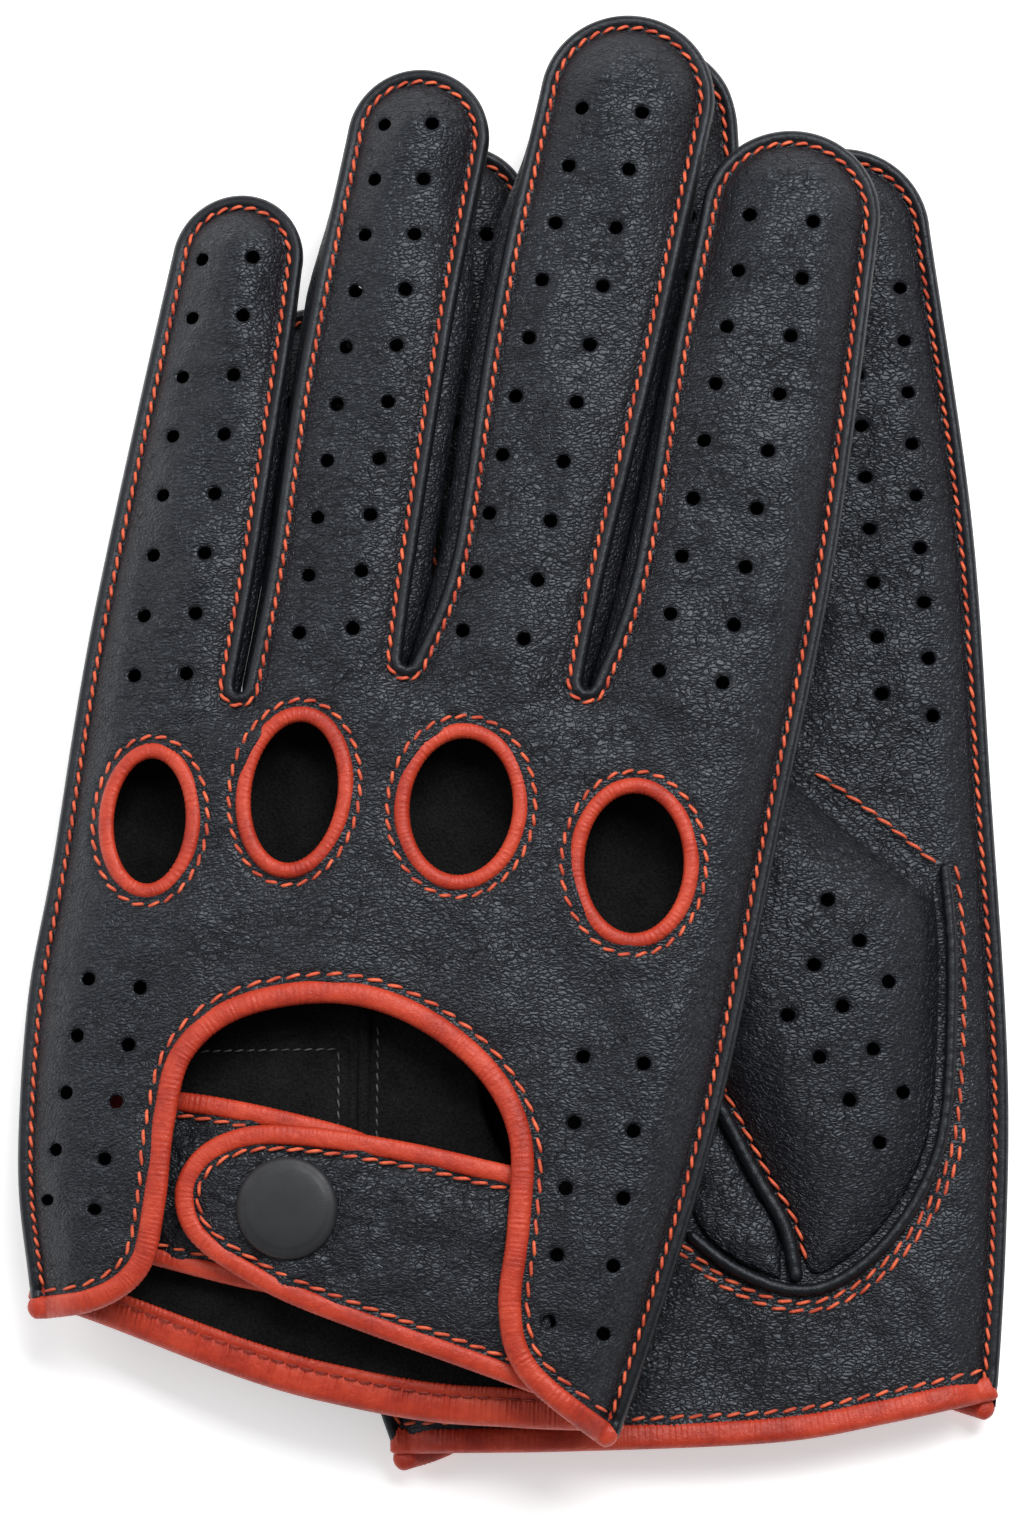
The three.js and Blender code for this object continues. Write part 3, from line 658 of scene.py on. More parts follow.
def section_round(width, height, sides, power):
    """A rounded section as (across, up) offsets: an oval at power 1, squarer below that."""
    a = np.linspace(0, 2 * math.pi, sides, endpoint=False)
    c, s = np.cos(a), np.sin(a)
    return np.column_stack([
        np.sign(c) * np.abs(c) ** power * width / 2, np.sign(s) * np.abs(s) ** power * height / 2
    ])


def swept(path, levels, section, closed=False, wrinkle=0.0, waves=(0.9, 3.2), seed=1, taper=0.0):
    """A strip along a plane path: section is (left of the path, up), and levels its height, one for all
    points or one for each. wrinkle is the depth of fine folds across it, waves the range of their
    lengths, and taper the length of its rounded ends."""
    normals = left_normals(path, closed)
    along = arc_length(path)
    scale = np.ones(len(path))
    if taper:
        end = np.clip(np.minimum(along, along[-1] - along) / taper, 0.02, 1)
        scale = np.sqrt(1 - (1 - end) ** 2)
    random = np.random.default_rng(seed)
    sides = len(section)
    turn = np.linspace(0, 2 * math.pi, sides, endpoint=False)
    folds = np.zeros((len(path), sides))
    for _ in range(FOLD_WAVES):
        k = 2 * math.pi / random.uniform(*waves)
        lean = 0.8 * np.sin(turn + random.uniform(0, 7))
        folds += np.sin(along[:, None] * k + random.uniform(0, 7) + lean)
    folds *= np.asarray(wrinkle) / math.sqrt(FOLD_WAVES / 2)
    if closed:
        folds *= smoothstep(np.minimum(along, along[-1] - along) / 3)[:, None]
    size = np.linalg.norm(section - section.mean(0), axis=1)
    ring = section[None] * (scale[:, None] * (1 + folds / np.maximum(size, 0.4)))[:, :, None]
    points = np.empty((len(path), sides, 3))
    points[:, :, :2] = path[:, None, :] + normals[:, None, :] * ring[:, :, :1]
    points[:, :, 2] = np.asarray(levels).reshape(-1, 1) + ring[:, :, 1]
    return tube(points, closed)


def tube(rings, closed=False):
    """A closed skin over rings of points, all the same size."""
    count, sides = rings.shape[:2]
    faces = []
    for i in range(count if closed else count - 1):
        here, there = i * sides, ((i + 1) % count) * sides
        for j in range(sides):
            k = (j + 1) % sides
            faces.append([here + j, there + j, there + k, here + k])
    if not closed:
        faces.append(list(range(sides)))
        faces.append([(count - 1) * sides + j for j in reversed(range(sides))])
    return Shape(rings.reshape(-1, 3), faces)


def stitch_row(path, top, side=1, pitch=STITCH_PITCH, radius=STITCH_RADIUS, slant=0.2):
    """Saddle stitches along a plane path. top gives the leather's height under points."""
    path = resample(path, 0.25)
    along = arc_length(path)
    count = max(1, int(along[-1] / pitch))
    pitch = along[-1] / count
    length = STITCH_SHARE * pitch
    stations, sides = 9, 8
    u = np.linspace(0, 1, stations)
    first = (np.arange(count) + 0.5) * pitch - length / 2
    at = first[:, None] + u[None] * length
    x, y = np.interp(at, along, path[:, 0]), np.interp(at, along, path[:, 1])
    normals = left_normals(path)
    nx, ny = np.interp(at, along, normals[:, 0]), np.interp(at, along, normals[:, 1])
    lean = slant * np.sin(math.pi * (u[None] - 0.5))
    x, y = x + nx * lean, y + ny * lean
    under = top(np.column_stack([x.ravel(), y.ravel()])).reshape(count, stations)
    arch = np.sin(math.pi * np.clip(u, 0.02, 0.98))[None]
    level = under.mean(1, keepdims=True) + STITCH_LIFT * arch - END_DEPTH * (1 - arch) ** 3
    thick = radius * arch**0.35
    thick[:, [0, -1]] = radius * 0.3
    turn = np.linspace(0, 2 * math.pi, sides, endpoint=False)
    out = thick[..., None] * np.cos(turn)
    points = np.empty((count, stations, sides, 3))
    points[..., 0] = x[..., None] + nx[..., None] * out
    points[..., 1] = y[..., None] + ny[..., None] * out
    points[..., 2] = side * (level[..., None] + thick[..., None] * np.sin(turn))
    return joined([tube(stitch) for stitch in points])


def turned(profile, base, segments=64):
    """A solid turned about the snap's axis. profile runs from the axis out and back to it, as radii and
    heights above a base."""
    inner = profile[1:-1]
    points = [(*SNAP_AT, base + profile[0][1])]
    for radius, height in inner:
        ring = circle(SNAP_AT, radius, segments)
        points += [(x, y, base + height) for x, y in ring]
    points.append((*SNAP_AT, base + profile[-1][1]))
    faces = []
    for j in range(segments):
        k = (j + 1) % segments
        faces.append([0, 1 + k, 1 + j])
        for i in range(len(inner) - 1):
            p, q = 1 + i * segments, 1 + (i + 1) * segments
            faces.append([p + j, p + k, q + k, q + j])
        last = 1 + (len(inner) - 1) * segments
        faces.append([last + j, last + k, len(points) - 1])
    return Shape(points, faces)


# ---- materials


class Surface:
    """A material under construction: textures lie in the object's own coordinates."""

    def __init__(self, name):
        self.material = bpy.data.materials.new(name)
        self.material.use_nodes = True
        tree = self.material.node_tree
        self.nodes, self.links = tree.nodes, tree.links
        self.shader = self.nodes["Principled BSDF"]
        self.place = self.nodes.new("ShaderNodeTexCoord").outputs["Object"]
        self.normal = None

    def node(self, kind, links=(), **settings):
        """Adds a node: settings name its properties or sockets, links pairs a socket with its source."""
        node = self.nodes.new("ShaderNode" + kind)
        for key, value in settings.items():
            if hasattr(node, key):
                setattr(node, key, value)
            else:
                node.inputs[key.replace("_", " ")].default_value = value
        for socket, source in links:
            self.links.new(source, node.inputs[socket])
        return node

    def warp(self, scale, amount, stretch=(1, 1, 1)):
        """Bends the coordinates that later textures use, so that nothing looks regular."""
        noise = self.node("TexNoise", [("Vector", self.place)], Scale=scale, Detail=2.0)
        centred = self.maths("SUBTRACT", noise.outputs["Color"], (0.5, 0.5, 0.5), "VectorMath")
        sized = self.maths("MULTIPLY", centred, (amount, amount, amount), "VectorMath")
        moved = self.maths("ADD", self.place, sized, "VectorMath")
        self.place = self.maths("MULTIPLY", moved, stretch, "VectorMath")

    def noise(self, scale, detail=3.0, distortion=0.0):
        settings = {"Scale": scale, "Detail": detail, "Distortion": distortion}
        return self.node("TexNoise", [("Vector", self.place)], **settings).outputs["Fac"]

    def cells(self, scale):
        settings = {"Scale": scale, "feature": "DISTANCE_TO_EDGE"}
        return self.node("TexVoronoi", [("Vector", self.place)], **settings).outputs["Distance"]

    def creases(self, scale, width, show):
        """Crisp broken lines between stretched cells: 1 on open skin, 0 in a crease, where show is high."""
        line = self.maths("SUBTRACT", 1.0, self.ramp(self.cells(scale), (0.0, 0.0), (width, 1.0)))
        return self.maths("SUBTRACT", 1.0, self.maths("MULTIPLY", line, show))

    def ramp(self, source, *stops):
        """Colours, or single numbers for greys, at positions along a value."""
        node = self.node("ValToRGB", [("Fac", source)])
        elements = node.color_ramp.elements
        while len(elements) < len(stops):
            elements.new(0.5)
        for element, (position, color) in zip(elements, stops):
            element.position = position
            element.color = (*(color if isinstance(color, tuple) else (color, color, color)), 1)
        return node.outputs["Color"]

    def maths(self, operation, a, b, kind="Math"):
        node = self.node(kind, operation=operation)
        for socket, value in zip(node.inputs, (a, b)):
            if isinstance(value, bpy.types.NodeSocket):
                self.links.new(value, socket)
            else:
                socket.default_value = value
        return node.outputs[0]

    def bump(self, height, distance, strength=1.0):
        links = [("Height", height)]
        if self.normal:
            links.append(("Normal", self.normal))
        node = self.node("Bump", links, Strength=strength, Distance=distance)
        self.normal = node.outputs["Normal"]

    def finish(self, color=None, rough=None, **constants):
        for socket, source in (("Base Color", color), ("Roughness", rough), ("Normal", self.normal)):
            if source is not None:
                self.links.new(source, self.shader.inputs[socket])
        for key, value in constants.items():
            self.shader.inputs[key.replace("_", " ")].default_value = value
        return self.material


COOL_SHEEN = (0.86, 0.92, 1, 1)


def leather_material():
    """Drum-dyed leather: small stretched pebbles crossed by longer creases, with painted shade that darkens
    the grooves between the pebbles and the creases.
    """
    # dark is painted shade for the grooves and creases, light is the open skin's own tone.
    dark, light = (0.0005, 0.0005, 0.0006), (0.0036, 0.0040, 0.0066)
    grain, depth = 1450, 0.00012
    leather = Surface("leather")
    drift = leather.noise(60, 4.0)
    leather.bump(leather.noise(170, 4.0), 0.0008, 0.7)
    leather.bump(leather.noise(520, 3.0), 0.00036, 0.8)
    leather.warp(260, 0.0016)
    leather.warp(1100, 0.0006, (0.55, 1.25, 1.0))
    strong = leather.ramp(drift, (0.36, 0.45), (0.62, 1.0))
    cells = leather.cells(grain)
    pebbles = leather.ramp(cells, (0.0, 0.0), (0.10, 0.62), (0.36, 1.0))
    gaps = leather.ramp(leather.noise(520, 2.0), (0.38, 0.25), (0.58, 1.0))
    broken = leather.maths("MULTIPLY", strong, gaps)
    grain_crease_shade = leather.creases(grain, 0.09, broken)
    long_show = leather.ramp(leather.noise(150, 3.0), (0.48, 0.0), (0.62, 0.9))
    long_creases = leather.creases(grain * 0.36, 0.05, long_show)
    leather.bump(long_creases, depth * 2.4)
    leather.bump(pebbles, depth)
    # Painted shade: this mask is 0 in the grooves and creases, where the colour is darkened and the leather
    # made rougher.
    crease_shade_mask = leather.maths("MULTIPLY", grain_crease_shade, long_creases)
    mottle = leather.ramp(leather.noise(grain * 1.4, 3.0), (0.3, 0.7), (0.7, 1.0))
    # Painted shade: the colour goes to dark in the grooves and creases; mottle is the hide's own uneven tone.
    color = leather.ramp(leather.maths("MULTIPLY", crease_shade_mask, mottle), (0.1, dark), (0.95, light))
    rough = leather.ramp(crease_shade_mask, (0.2, 0.72), (0.9, 0.43))
    return leather.finish(color, rough, Specular_IOR_Level=0.5, Specular_Tint=COOL_SHEEN)


def edge_material():
    """The burnished roll of a sewn edge: the same hide, pressed smooth."""
    edge = Surface("leather_piping")
    patches = edge.noise(90, 4.0)
    edge.warp(500, 0.0006)
    edge.bump(edge.noise(700, 4.0), 0.00016)
    edge.bump(edge.cells(2600), 0.00006)
    color = edge.ramp(patches, (0.3, (0.002, 0.002, 0.0027)), (0.7, (0.0048, 0.005, 0.0066)))
    rough = edge.ramp(patches, (0.3, 0.5), (0.7, 0.4))
    return edge.finish(color, rough, Specular_IOR_Level=0.36, Specular_Tint=COOL_SHEEN)


def binding_material():
    """Dyed lambskin tape: nearly smooth, with fine pores, and painted shade that makes the hollows of its
    folds slightly darker.
    """
    tape = Surface("red_binding")
    patches = tape.noise(130, 4.0)
    tape.warp(500, 0.0007)
    folds = tape.noise(850, 4.0, 0.5)
    pores = tape.cells(2600)
    tape.bump(folds, 0.00022, 0.8)
    tape.bump(pores, 0.00008, 0.8)
    # Painted shade: the colour mixes random patches of the tape's own tone with the fold bumps, and is darker
    # in their hollows.
    tone_and_hollow_shade = tape.maths("ADD", tape.maths("MULTIPLY", patches, 0.7), tape.maths("MULTIPLY", folds, 0.3))
    stops = [(0.36, (0.32, 0.019, 0.006)), (0.5, (0.44, 0.034, 0.011)), (0.66, (0.54, 0.056, 0.022))]
    color, rough = tape.ramp(tone_and_hollow_shade, *stops), tape.ramp(folds, (0.3, 0.56), (0.7, 0.42))
    return tape.finish(color, rough, Specular_IOR_Level=0.4)


def thread_material(name, dark, light):
    """Waxed thread of three twisted plies."""
    thread = Surface(name)
    patches = thread.noise(420, 3.0)
    thread.bump(thread.noise(3200, 2.0), 0.00016)
    color = thread.ramp(patches, (0.35, dark), (0.65, light))
    return thread.finish(color, thread.ramp(patches, (0.3, 0.7), (0.7, 0.52)))


def suede_material():
    """The flesh side of the leather: matt, napped, nearly black."""
    suede = Surface("suede")
    drift = suede.noise(150, 5.0)
    nap = suede.noise(2400, 4.0)
    suede.bump(drift, 0.0007, 0.7)
    suede.bump(nap, 0.0004, 0.9)
    # Painted shade: the colour follows the drift and nap bumps and is darker where they sink.
    tone_and_hollow_shade = suede.maths("MULTIPLY", drift, nap)
    color = suede.ramp(tone_and_hollow_shade, (0.12, 0.0015), (0.42, 0.009))
    return suede.finish(color, suede.ramp(nap, (0.3, 1.0), (0.7, 0.85)), Specular_IOR_Level=0.15)


def metal_material(name, color, rough, **constants):
    metal = Surface(name)
    wear = metal.noise(380, 6.0)
    metal.bump(metal.noise(5000, 2.0), 0.00004, 0.7)
    light = tuple(min(1, c * 1.4) for c in color)
    shade = metal.ramp(wear, (0.35, color), (0.7, light))
    return metal.finish(shade, metal.ramp(wear, (0.3, rough + 0.07), (0.7, rough - 0.06)), **constants)


MATERIALS = {
    "leather": leather_material(),
    "piping": edge_material(),
    "red": binding_material(),
    "thread": thread_material("red_thread", (0.42, 0.045, 0.018), (0.78, 0.135, 0.052)),
    "seam_thread": thread_material("dark_red_thread", (0.16, 0.012, 0.007), (0.34, 0.03, 0.014)),
    "grey_thread": thread_material("grey_thread", 0.03, 0.08),
    "suede": suede_material(),
    "snap": metal_material("snap_black", (0.017, 0.0175, 0.0195), 0.5, Metallic=0.2, Specular_IOR_Level=0.45),
    "metal": metal_material("snap_metal", (0.24, 0.24, 0.25), 0.34, Metallic=1.0),
}

# ---- placing pieces


def sag(part, past):
    return part["depth"] * np.maximum(0, past / part["reach"]) ** 2


def droop(x, y):
    """How far the upper glove hangs below its own flat shape."""
    side = sag(SAG_SIDE, SAG_SIDE["start"] - x)
    return side + sag(SAG_TIP, y - SAG_TIP["start"]) + sag(SAG_HEM, SAG_HEM["start"] - y)


def corner_pull(x, y):
    """How far up the cuff is pulled at the little finger's side."""
    return CORNER_PULL * smoothstep(-x / 46) * smoothstep((30 - y) / 30)


def pressed(z):
    """Flattens what the lower glove rests on, so that nothing reaches into the table."""
    room = z + BACK_HEIGHT
    squeezed = REST_CUSHION * np.exp((np.minimum(room, REST_CUSHION) - REST_CUSHION) / REST_CUSHION)
    return np.where(room > REST_CUSHION, z, squeezed - BACK_HEIGHT)


def index_tuck(x, y):
    """How far the end of the index finger is gathered towards the palm."""
    return INDEX_TUCK * smoothstep((x - 21) / 5) * smoothstep((y - 115) / 80)


def linked(name, data):
    """A new object in the scene."""
    thing = bpy.data.objects.new(name, data)
    bpy.context.scene.collection.objects.link(thing)
    return thing


class Glove:
    """One glove of the pair: places the flat design and builds its pieces."""

    def __init__(self, side):
        self.side = side
        self.mirrored = side == "right"
        lay = LAY[side]
        yaw, roll = math.radians(lay["yaw"]), math.radians(lay["roll"])
        c, s = math.cos(yaw), math.sin(yaw)
        turn = np.array([[c, -s, 0], [s, c, 0], [0, 0, 1]])
        c, s = math.cos(roll), math.sin(roll)
        self.turn = turn @ np.array([[c, 0, s], [0, 1, 0], [-s, 0, c]])
        self.at = np.array(lay["at"], float)

    def place(self, points):
        """Points of the flat glove, in mm, as the glove lies, in metres."""
        p = np.array(points, float).reshape(-1, 3)
        x, y = p[:, 0].copy(), p[:, 1].copy()
        if self.mirrored:
            p[:, 1] -= index_tuck(x, y)
            p[:, 2] = pressed(-p[:, 2])
        else:
            p[:, 1] += corner_pull(x, y)
            p[:, 2] -= droop(x, y)
        return (p @ self.turn.T + self.at + table_shift) * MM

    def body(self, part):
        return f"{self.side}_{part}"

    def build(self, name, shape, materials, nodes, part="glove"):
        """Makes the piece, gives it its finish and hangs it on its body, except a tab's pieces other than the
        snap, which are left baked where they lie.
        """
        faces = shape.faces
        if self.mirrored:
            faces = [face[::-1] for face in faces]
        mesh = bpy.data.meshes.new(f"{self.side}_{name}")
        mesh.from_pydata(self.place(shape.points).tolist(), [], faces)
        for key in materials:
            mesh.materials.append(MATERIALS[key])
        mesh.polygons.foreach_set("material_index", [min(s, len(materials) - 1) for s in shape.slots])
        mesh.polygons.foreach_set("use_smooth", [True] * len(faces))
        mesh.update()
        piece = linked(mesh.name, mesh)
        if not self.bends(part, piece):
            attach(piece, self.body(part))
        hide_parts(*[f"{self.side}_{node}" for node in nodes])

    def bends(self, part, piece):
        """For a tab's pieces other than its snap: bakes the piece's placement into its mesh and returns True,
        so that it is hung on no body. The hinge's ends are placed but not used.
        """
        if part not in HINGES or "snap" in piece.name:
            return False
        start, end = HINGES[part]
        low, high = self.place([start, end])
        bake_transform(piece)
        return True


def find_table_shift():
    """The CAD pair is centred on its footprint: the lower snap cap tells by how much."""
    low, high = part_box("right_snap_cap")
    there = (np.array(low) + np.array(high)) / 2 / MM
    here = Glove("right").place([(*SNAP_AT, 0)])[0] / MM
    return np.array([there[0] - here[0], there[1] - here[1], 0])


table_shift = np.zeros(3)    # until it has been found
table_shift = find_table_shift()
GLOVES = [Glove("right"), Glove("left")]

# ---- hand panels and their seams


def sewn_path(inset, hem):
    """The outline moved inwards by an inset, from hem to hem, without its tangles in the forks."""
    path = offset(HAND.path, inset)
    good = np.abs(HAND.near(path)[0] - inset) < 0.12
    above = hem.near(path)[0] > 1.5
    return path[good & above]


def back_panel():
    loop = trimmed_loop(CUFF, CUFF_LAP)
    holes = [ellipse(**hole, grow=-HOLE_LAP) for hole in KNUCKLES.values()]
    lines = [offset(CUFF.path, d) for d in (0.9, 1.5, 2.1, 2.8, 3.6)]
    return leather_sheet(loop, back_top, 1, holes, perforations(BACK_HOLES), lines=lines, rolled=HAND)


def palm_panel():
    loop = trimmed_loop(PALM_HEM, -0.8)
    holes = [ellipse(**THUMB_HOLE)]
    lines = [offset(PALM_HEM.path, d) for d in (6.0, 6.6, 7.3)]
    return leather_sheet(loop, palm_top, -1, holes, perforations(PALM_HOLES), lines=lines, rolled=HAND)


def ring_binding(hole):
    path, section = ellipse(**hole, step=RIB_STEP, grow=-HOLE_LAP), section_round(*RING_TAPE, 16, 0.9)
    ribs = {"wrinkle": 0.022, "waves": RIBS, "seed": int(hole["at"][1])}
    return swept(path, BACK_HEIGHT - 0.62, section, closed=True, **ribs)


def cuff_binding():
    path = offset(CUFF.path, -CUFF_TAPE_AT)
    path = resample(path[HAND.near(path)[0] > -0.8], RIB_STEP)
    levels = back_top(path, detail=False) - 0.35
    section = section_round(*CUFF_TAPE, 18, 0.85)
    return swept(path, levels, section, wrinkle=0.02, waves=RIBS, seed=21, taper=1.5)


def palm_hem_binding():
    """A wide tape folded round the hem: its inner leg is longer and finely gathered."""
    fold, outer, inner = HEM_BAND
    section = [(outer + 0.05, 0.5), (outer + 0.05, -0.6), (outer - 0.15, -1.0), (outer - 0.9, -1.22)]
    section += [(fold + 1.5 - 1.5 * math.sin(t), -1.3 * math.cos(t)) for t in np.linspace(0, math.pi, 13)]
    section += [(1.9, 1.38), (2.9, 1.34), (3.35, 1.2), (3.6, 1.12), (3.85, 1.2), (4.3, 1.3), (4.8, 1.22)]
    section += [(inner - 0.1, 1.0), (inner, 0.7), (inner - 0.2, 0.5)]
    section = np.array(section)
    gathers = np.where((section[:, 1] > 0.6) & (section[:, 0] < inner - 0.3), 0.055, 0.025)
    path = PALM_HEM.path
    path = resample(path[HAND.near(path)[0] > -0.6], RIB_STEP)
    levels = -palm_top(path, detail=False) + LEATHER / 2
    return swept(path, levels, section[::-1], wrinkle=gathers[::-1], waves=(0.5, 1.1), seed=33, taper=1.2)


def seam_stitches(side, top, hem):
    """The stitches that hold back and palm together, just inside the rolled lip."""
    path = sewn_path(SEAM_INSET - 0.1, hem)
    return stitch_row(path, lambda p: top(p, detail=False) + 0.02, side, SEAM_PITCH)


def along_hem(hem, inset):
    """A stitch line along a hem, from one side seam to the other."""
    path = offset(hem.path, inset)
    return path[HAND.near(path)[0] > HEM_ROW_END]


def fourchette(right, left):
    """The side wall between two fingers, down one and up the other, puffed out into the gap."""
    near = (HAND.path[:, 0] < right) & (HAND.path[:, 0] > left) & (hand_shares > 0.05)
    path = resample(HAND.path[near], WALL_STEP)
    share = hand_shares[HAND.near(path)[1]]
    across = np.abs(path[:, 0] - np.interp(path[:, 1], *gap_middle(path)))
    puff = np.minimum(MOST_PUFF, 0.99 * across) * share**2
    high, low = rim_level(share, BACK_RIM) - 0.05, -rim_level(share, PALM_RIM) + 0.05
    normals = left_normals(path)
    outer, inner = [], []
    for t in np.linspace(0, 1, 9):
        inset = (1.15 - (1.15 + puff) * math.sin(math.pi * t) ** 0.7)[:, None]
        level = low + (high - low) * t
        outer.append(np.column_stack([path + normals * inset, level]))
        inner.append(np.column_stack([path + normals * (inset + THIN_LEATHER), level]))
    return tube(np.stack([*outer, *inner[::-1]], axis=1))


def gap_middle(path):
    """The middle line between the two sides of a fork, as y and x values."""
    bottom = int(np.argmin(path[:, 1]))
    down, up = path[: bottom + 1][::-1], path[bottom:]
    y = np.linspace(path[bottom, 1], min(down[-1, 1], up[-1, 1]), 60)
    return y, (np.interp(y, down[:, 1], down[:, 0]) + np.interp(y, up[:, 1], up[:, 0])) / 2


# ---- thumb

thumb_sewn = spline(THUMB_EDGE[:10])
thumb_rise = spline(THUMB_EDGE[9:])[1:]
thumb_tip = arc(**THUMB_TIP)
thumb_web = spline([tuple(thumb_tip[-1]), *THUMB_WEB, THUMB_EDGE[0]])[1:-1]
THUMB_LOOP = np.vstack([thumb_sewn, thumb_rise, thumb_tip, thumb_web])[::-1]
rise_end, web_start = thumb_rise[len(thumb_rise) // 3:], thumb_web[: len(thumb_web) // 4]
THUMB_FREE = np.vstack([rise_end, thumb_tip, web_start])[::-1]
thumb_ripple = Ripple(8, 20)
ON_PALM = PALM_HEIGHT + 0.25     # inner face of the thumb where it lies on the palm
THUMB_RISE_LENGTH = 20           # lengths over which the thumb's edge comes free of the palm
WEB_FALL_LENGTH = 16


def thumb_shares():
    """How free of the palm the thumb's edge is, from 0 to 1, at each point of its loop."""
    rise, web = arc_length(thumb_rise), arc_length(thumb_web)
    parts = [np.zeros(len(thumb_sewn)), smoothstep(rise / THUMB_RISE_LENGTH), np.ones(len(thumb_tip))]
    parts.append(1 - smoothstep(web / WEB_FALL_LENGTH))
    return np.concatenate(parts)[::-1]


THUMB = Edge(THUMB_LOOP, closed=True, values=thumb_shares())


def along_thumb(points):
    return (points - np.array(THUMB_EDGE[5])) @ THUMB_AXIS


def thumb_top(points):
    """Depth of the thumb's outer face below the seam plane."""
    distance, index = THUMB.near(points)
    along = along_thumb(points)
    free = THUMB.values[index]
    rim = ON_PALM + 0.45 + 1.5 * free
    height = THUMB_ROOT_HEIGHT + (THUMB_HEIGHT - THUMB_ROOT_HEIGHT) * smoothstep(along / 45)
    web = smoothstep((along - 36) / 6)
    level = rim + (height - rim) * crown(distance, 12, 0.3 + 1.3 * web, 2.0)
    level += 0.2 * free * bump(distance, 0.8, 0.6) - 0.2 * web * bump(distance, SEAM_INSET, 0.6)
    return level + smoothstep((distance - 3) / 5) * 0.16 * thumb_ripple(points)


def thumb_front():
    return leather_sheet(THUMB_LOOP, thumb_top, -1, small_holes=THUMB_HOLES, rolled=Edge(THUMB_FREE))


def thumb_back():
    loop = np.vstack([thumb_rise, thumb_tip, thumb_web[: len(thumb_web) // 3]])[::-1]
    inner = offset(loop, 0.5, closed=True)
    return leather_sheet(inner, lambda p: np.full(len(p), ON_PALM + 0.75), -1, thickness=THIN_LEATHER)


def thumb_gusset():
    loop = spline([*GUSSET_EDGE, GUSSET_EDGE[0]])[:-1][::-1]
    edge = Edge(loop, closed=True)
    fold = Ripple(29, 7, 1.6)

    def top(points):
        distance = edge.near(points)[0]
        crossed = bump(fold(points), 0, 0.35) * smoothstep(distance / 2)
        return ON_PALM + 0.85 + 0.9 * crown(distance, 5, 0.3) + 0.1 * fine_ripple(points) - 0.3 * crossed

    return leather_sheet(loop, top, -1, thickness=0.8, step=TAB_SPACING)


def welt(points, seed, radius=1.15):
    level, section = -(ON_PALM + radius * 0.85), section_round(2 * radius, 2 * radius, 12, 1.0)
    return swept(spline(points, 0.4), level, section, wrinkle=0.03, seed=seed, taper=1.4)


# ---- wrist tabs and snap


def snap_creases(points):
    """Puckers that run out from under the snap."""
    random = np.random.default_rng(14)
    away = points - np.array(SNAP_AT)
    radius = np.linalg.norm(away, axis=1)
    angle = np.arctan2(away[:, 1], away[:, 0])
    depth = np.zeros(len(points))
    for i in range(PUCKERS):
        start = 2 * math.pi * (i + random.uniform(-0.35, 0.35)) / PUCKERS
        bend, width = random.uniform(-0.035, 0.035), random.uniform(0.28, 0.5)
        turn = (angle - start - bend * (radius - SNAP_RADIUS) + math.pi) % (2 * math.pi) - math.pi
        reach = bump(radius, SNAP_RADIUS + random.uniform(0.6, 2.5), random.uniform(1.5, 3.6))
        depth += random.uniform(0.16, 0.36) * bump(turn * radius, 0, width) * reach
    return depth


def tab_shape(edge, level, root):
    """A tab's leather, inside its binding, with its root carried on under the back panel."""
    rooted = root_path(edge, root)
    ripple = Ripple(int(level * 10) + 40, 8)
    wrinkle = Ripple(int(level * 10) + 60, 6.5, 1.7)

    def top(points):
        distance = np.abs(Edge(rooted).near(points)[0])
        snap = np.linalg.norm(points - np.array(SNAP_AT), axis=1)
        pillow = 0.32 * smoothstep((distance - 3.8) / 4) - 0.3 * bump(distance, TAB_STITCH, GROOVE_WIDTH)
        crossed = 0.26 * bump(wrinkle(points), 0, 0.3) * smoothstep((distance - 4) / 2)
        waves = level + TAB_LEATHER + pillow + 0.18 * ripple(points) - crossed
        return waves - snap_creases(points) - 0.1 * bump(snap, 7.5, 1.5)

    return leather_sheet(offset(rooted, TAB_INSET), top, 1, thickness=TAB_LEATHER, step=TAB_SPACING)


def root_path(edge, root):
    """A tab's edge carried on at both ends, further at the last one, where the opening widens."""
    last = (edge[-1][0] + 1.9 * root, edge[-1][1] - 0.3 * abs(root))
    return spline([(edge[0][0] + root, edge[0][1]), *edge, last])


def tab_binding(edge, level, root, seed):
    path = resample(offset(root_path(edge, root), TAB_TAPE_AT), RIB_STEP)
    ribs = {"wrinkle": 0.02, "waves": RIBS, "seed": seed}
    return swept(path, level + TAB_LEATHER / 2, section_round(*TAB_TAPE, 18, 0.8), taper=1.2, **ribs)


def tab_stitches(edge, level, root):
    path = offset(root_path(edge, root), TAB_STITCH)
    return stitch_row(path, lambda p: np.full(len(p), level + TAB_LEATHER))


def snap_cap():
    r = SNAP_RADIUS
    rim = [(r - 0.4, 0), (r - 0.1, 0.1), (r, 0.4), (r - 0.04, 0.75), (r - 0.2, 1.05), (r - 0.5, 1.3)]
    dome = [((r - 1.4) * math.cos(t), 1.5 + 0.42 * math.sin(t)) for t in np.linspace(0.03, 1.5, 9)]
    profile = [(0, 0), *rim, (r - 0.95, 1.46), *dome, (0, 1.92)]
    return turned(profile, OVERLAP_LEVEL + TAB_LEATHER + 0.1, 96)


def snap_socket():
    path, section = circle(SNAP_AT, 4.0, 64), section_round(2.8, 1.3, 16, 0.6)
    return swept(path, OVERLAP_LEVEL - 0.8, section, closed=True)


def snap_stud():
    profile = [(0, 0), (4.6, 0), (4.85, 0.2), (4.6, 0.42), (2.4, 0.5), (1.9, 0.7), (2.1, 1.1), (2.15, 1.35)]
    return turned([*profile, (1.8, 1.6), (0, 1.7)], UNDERLAP_LEVEL + TAB_LEATHER + 0.2)


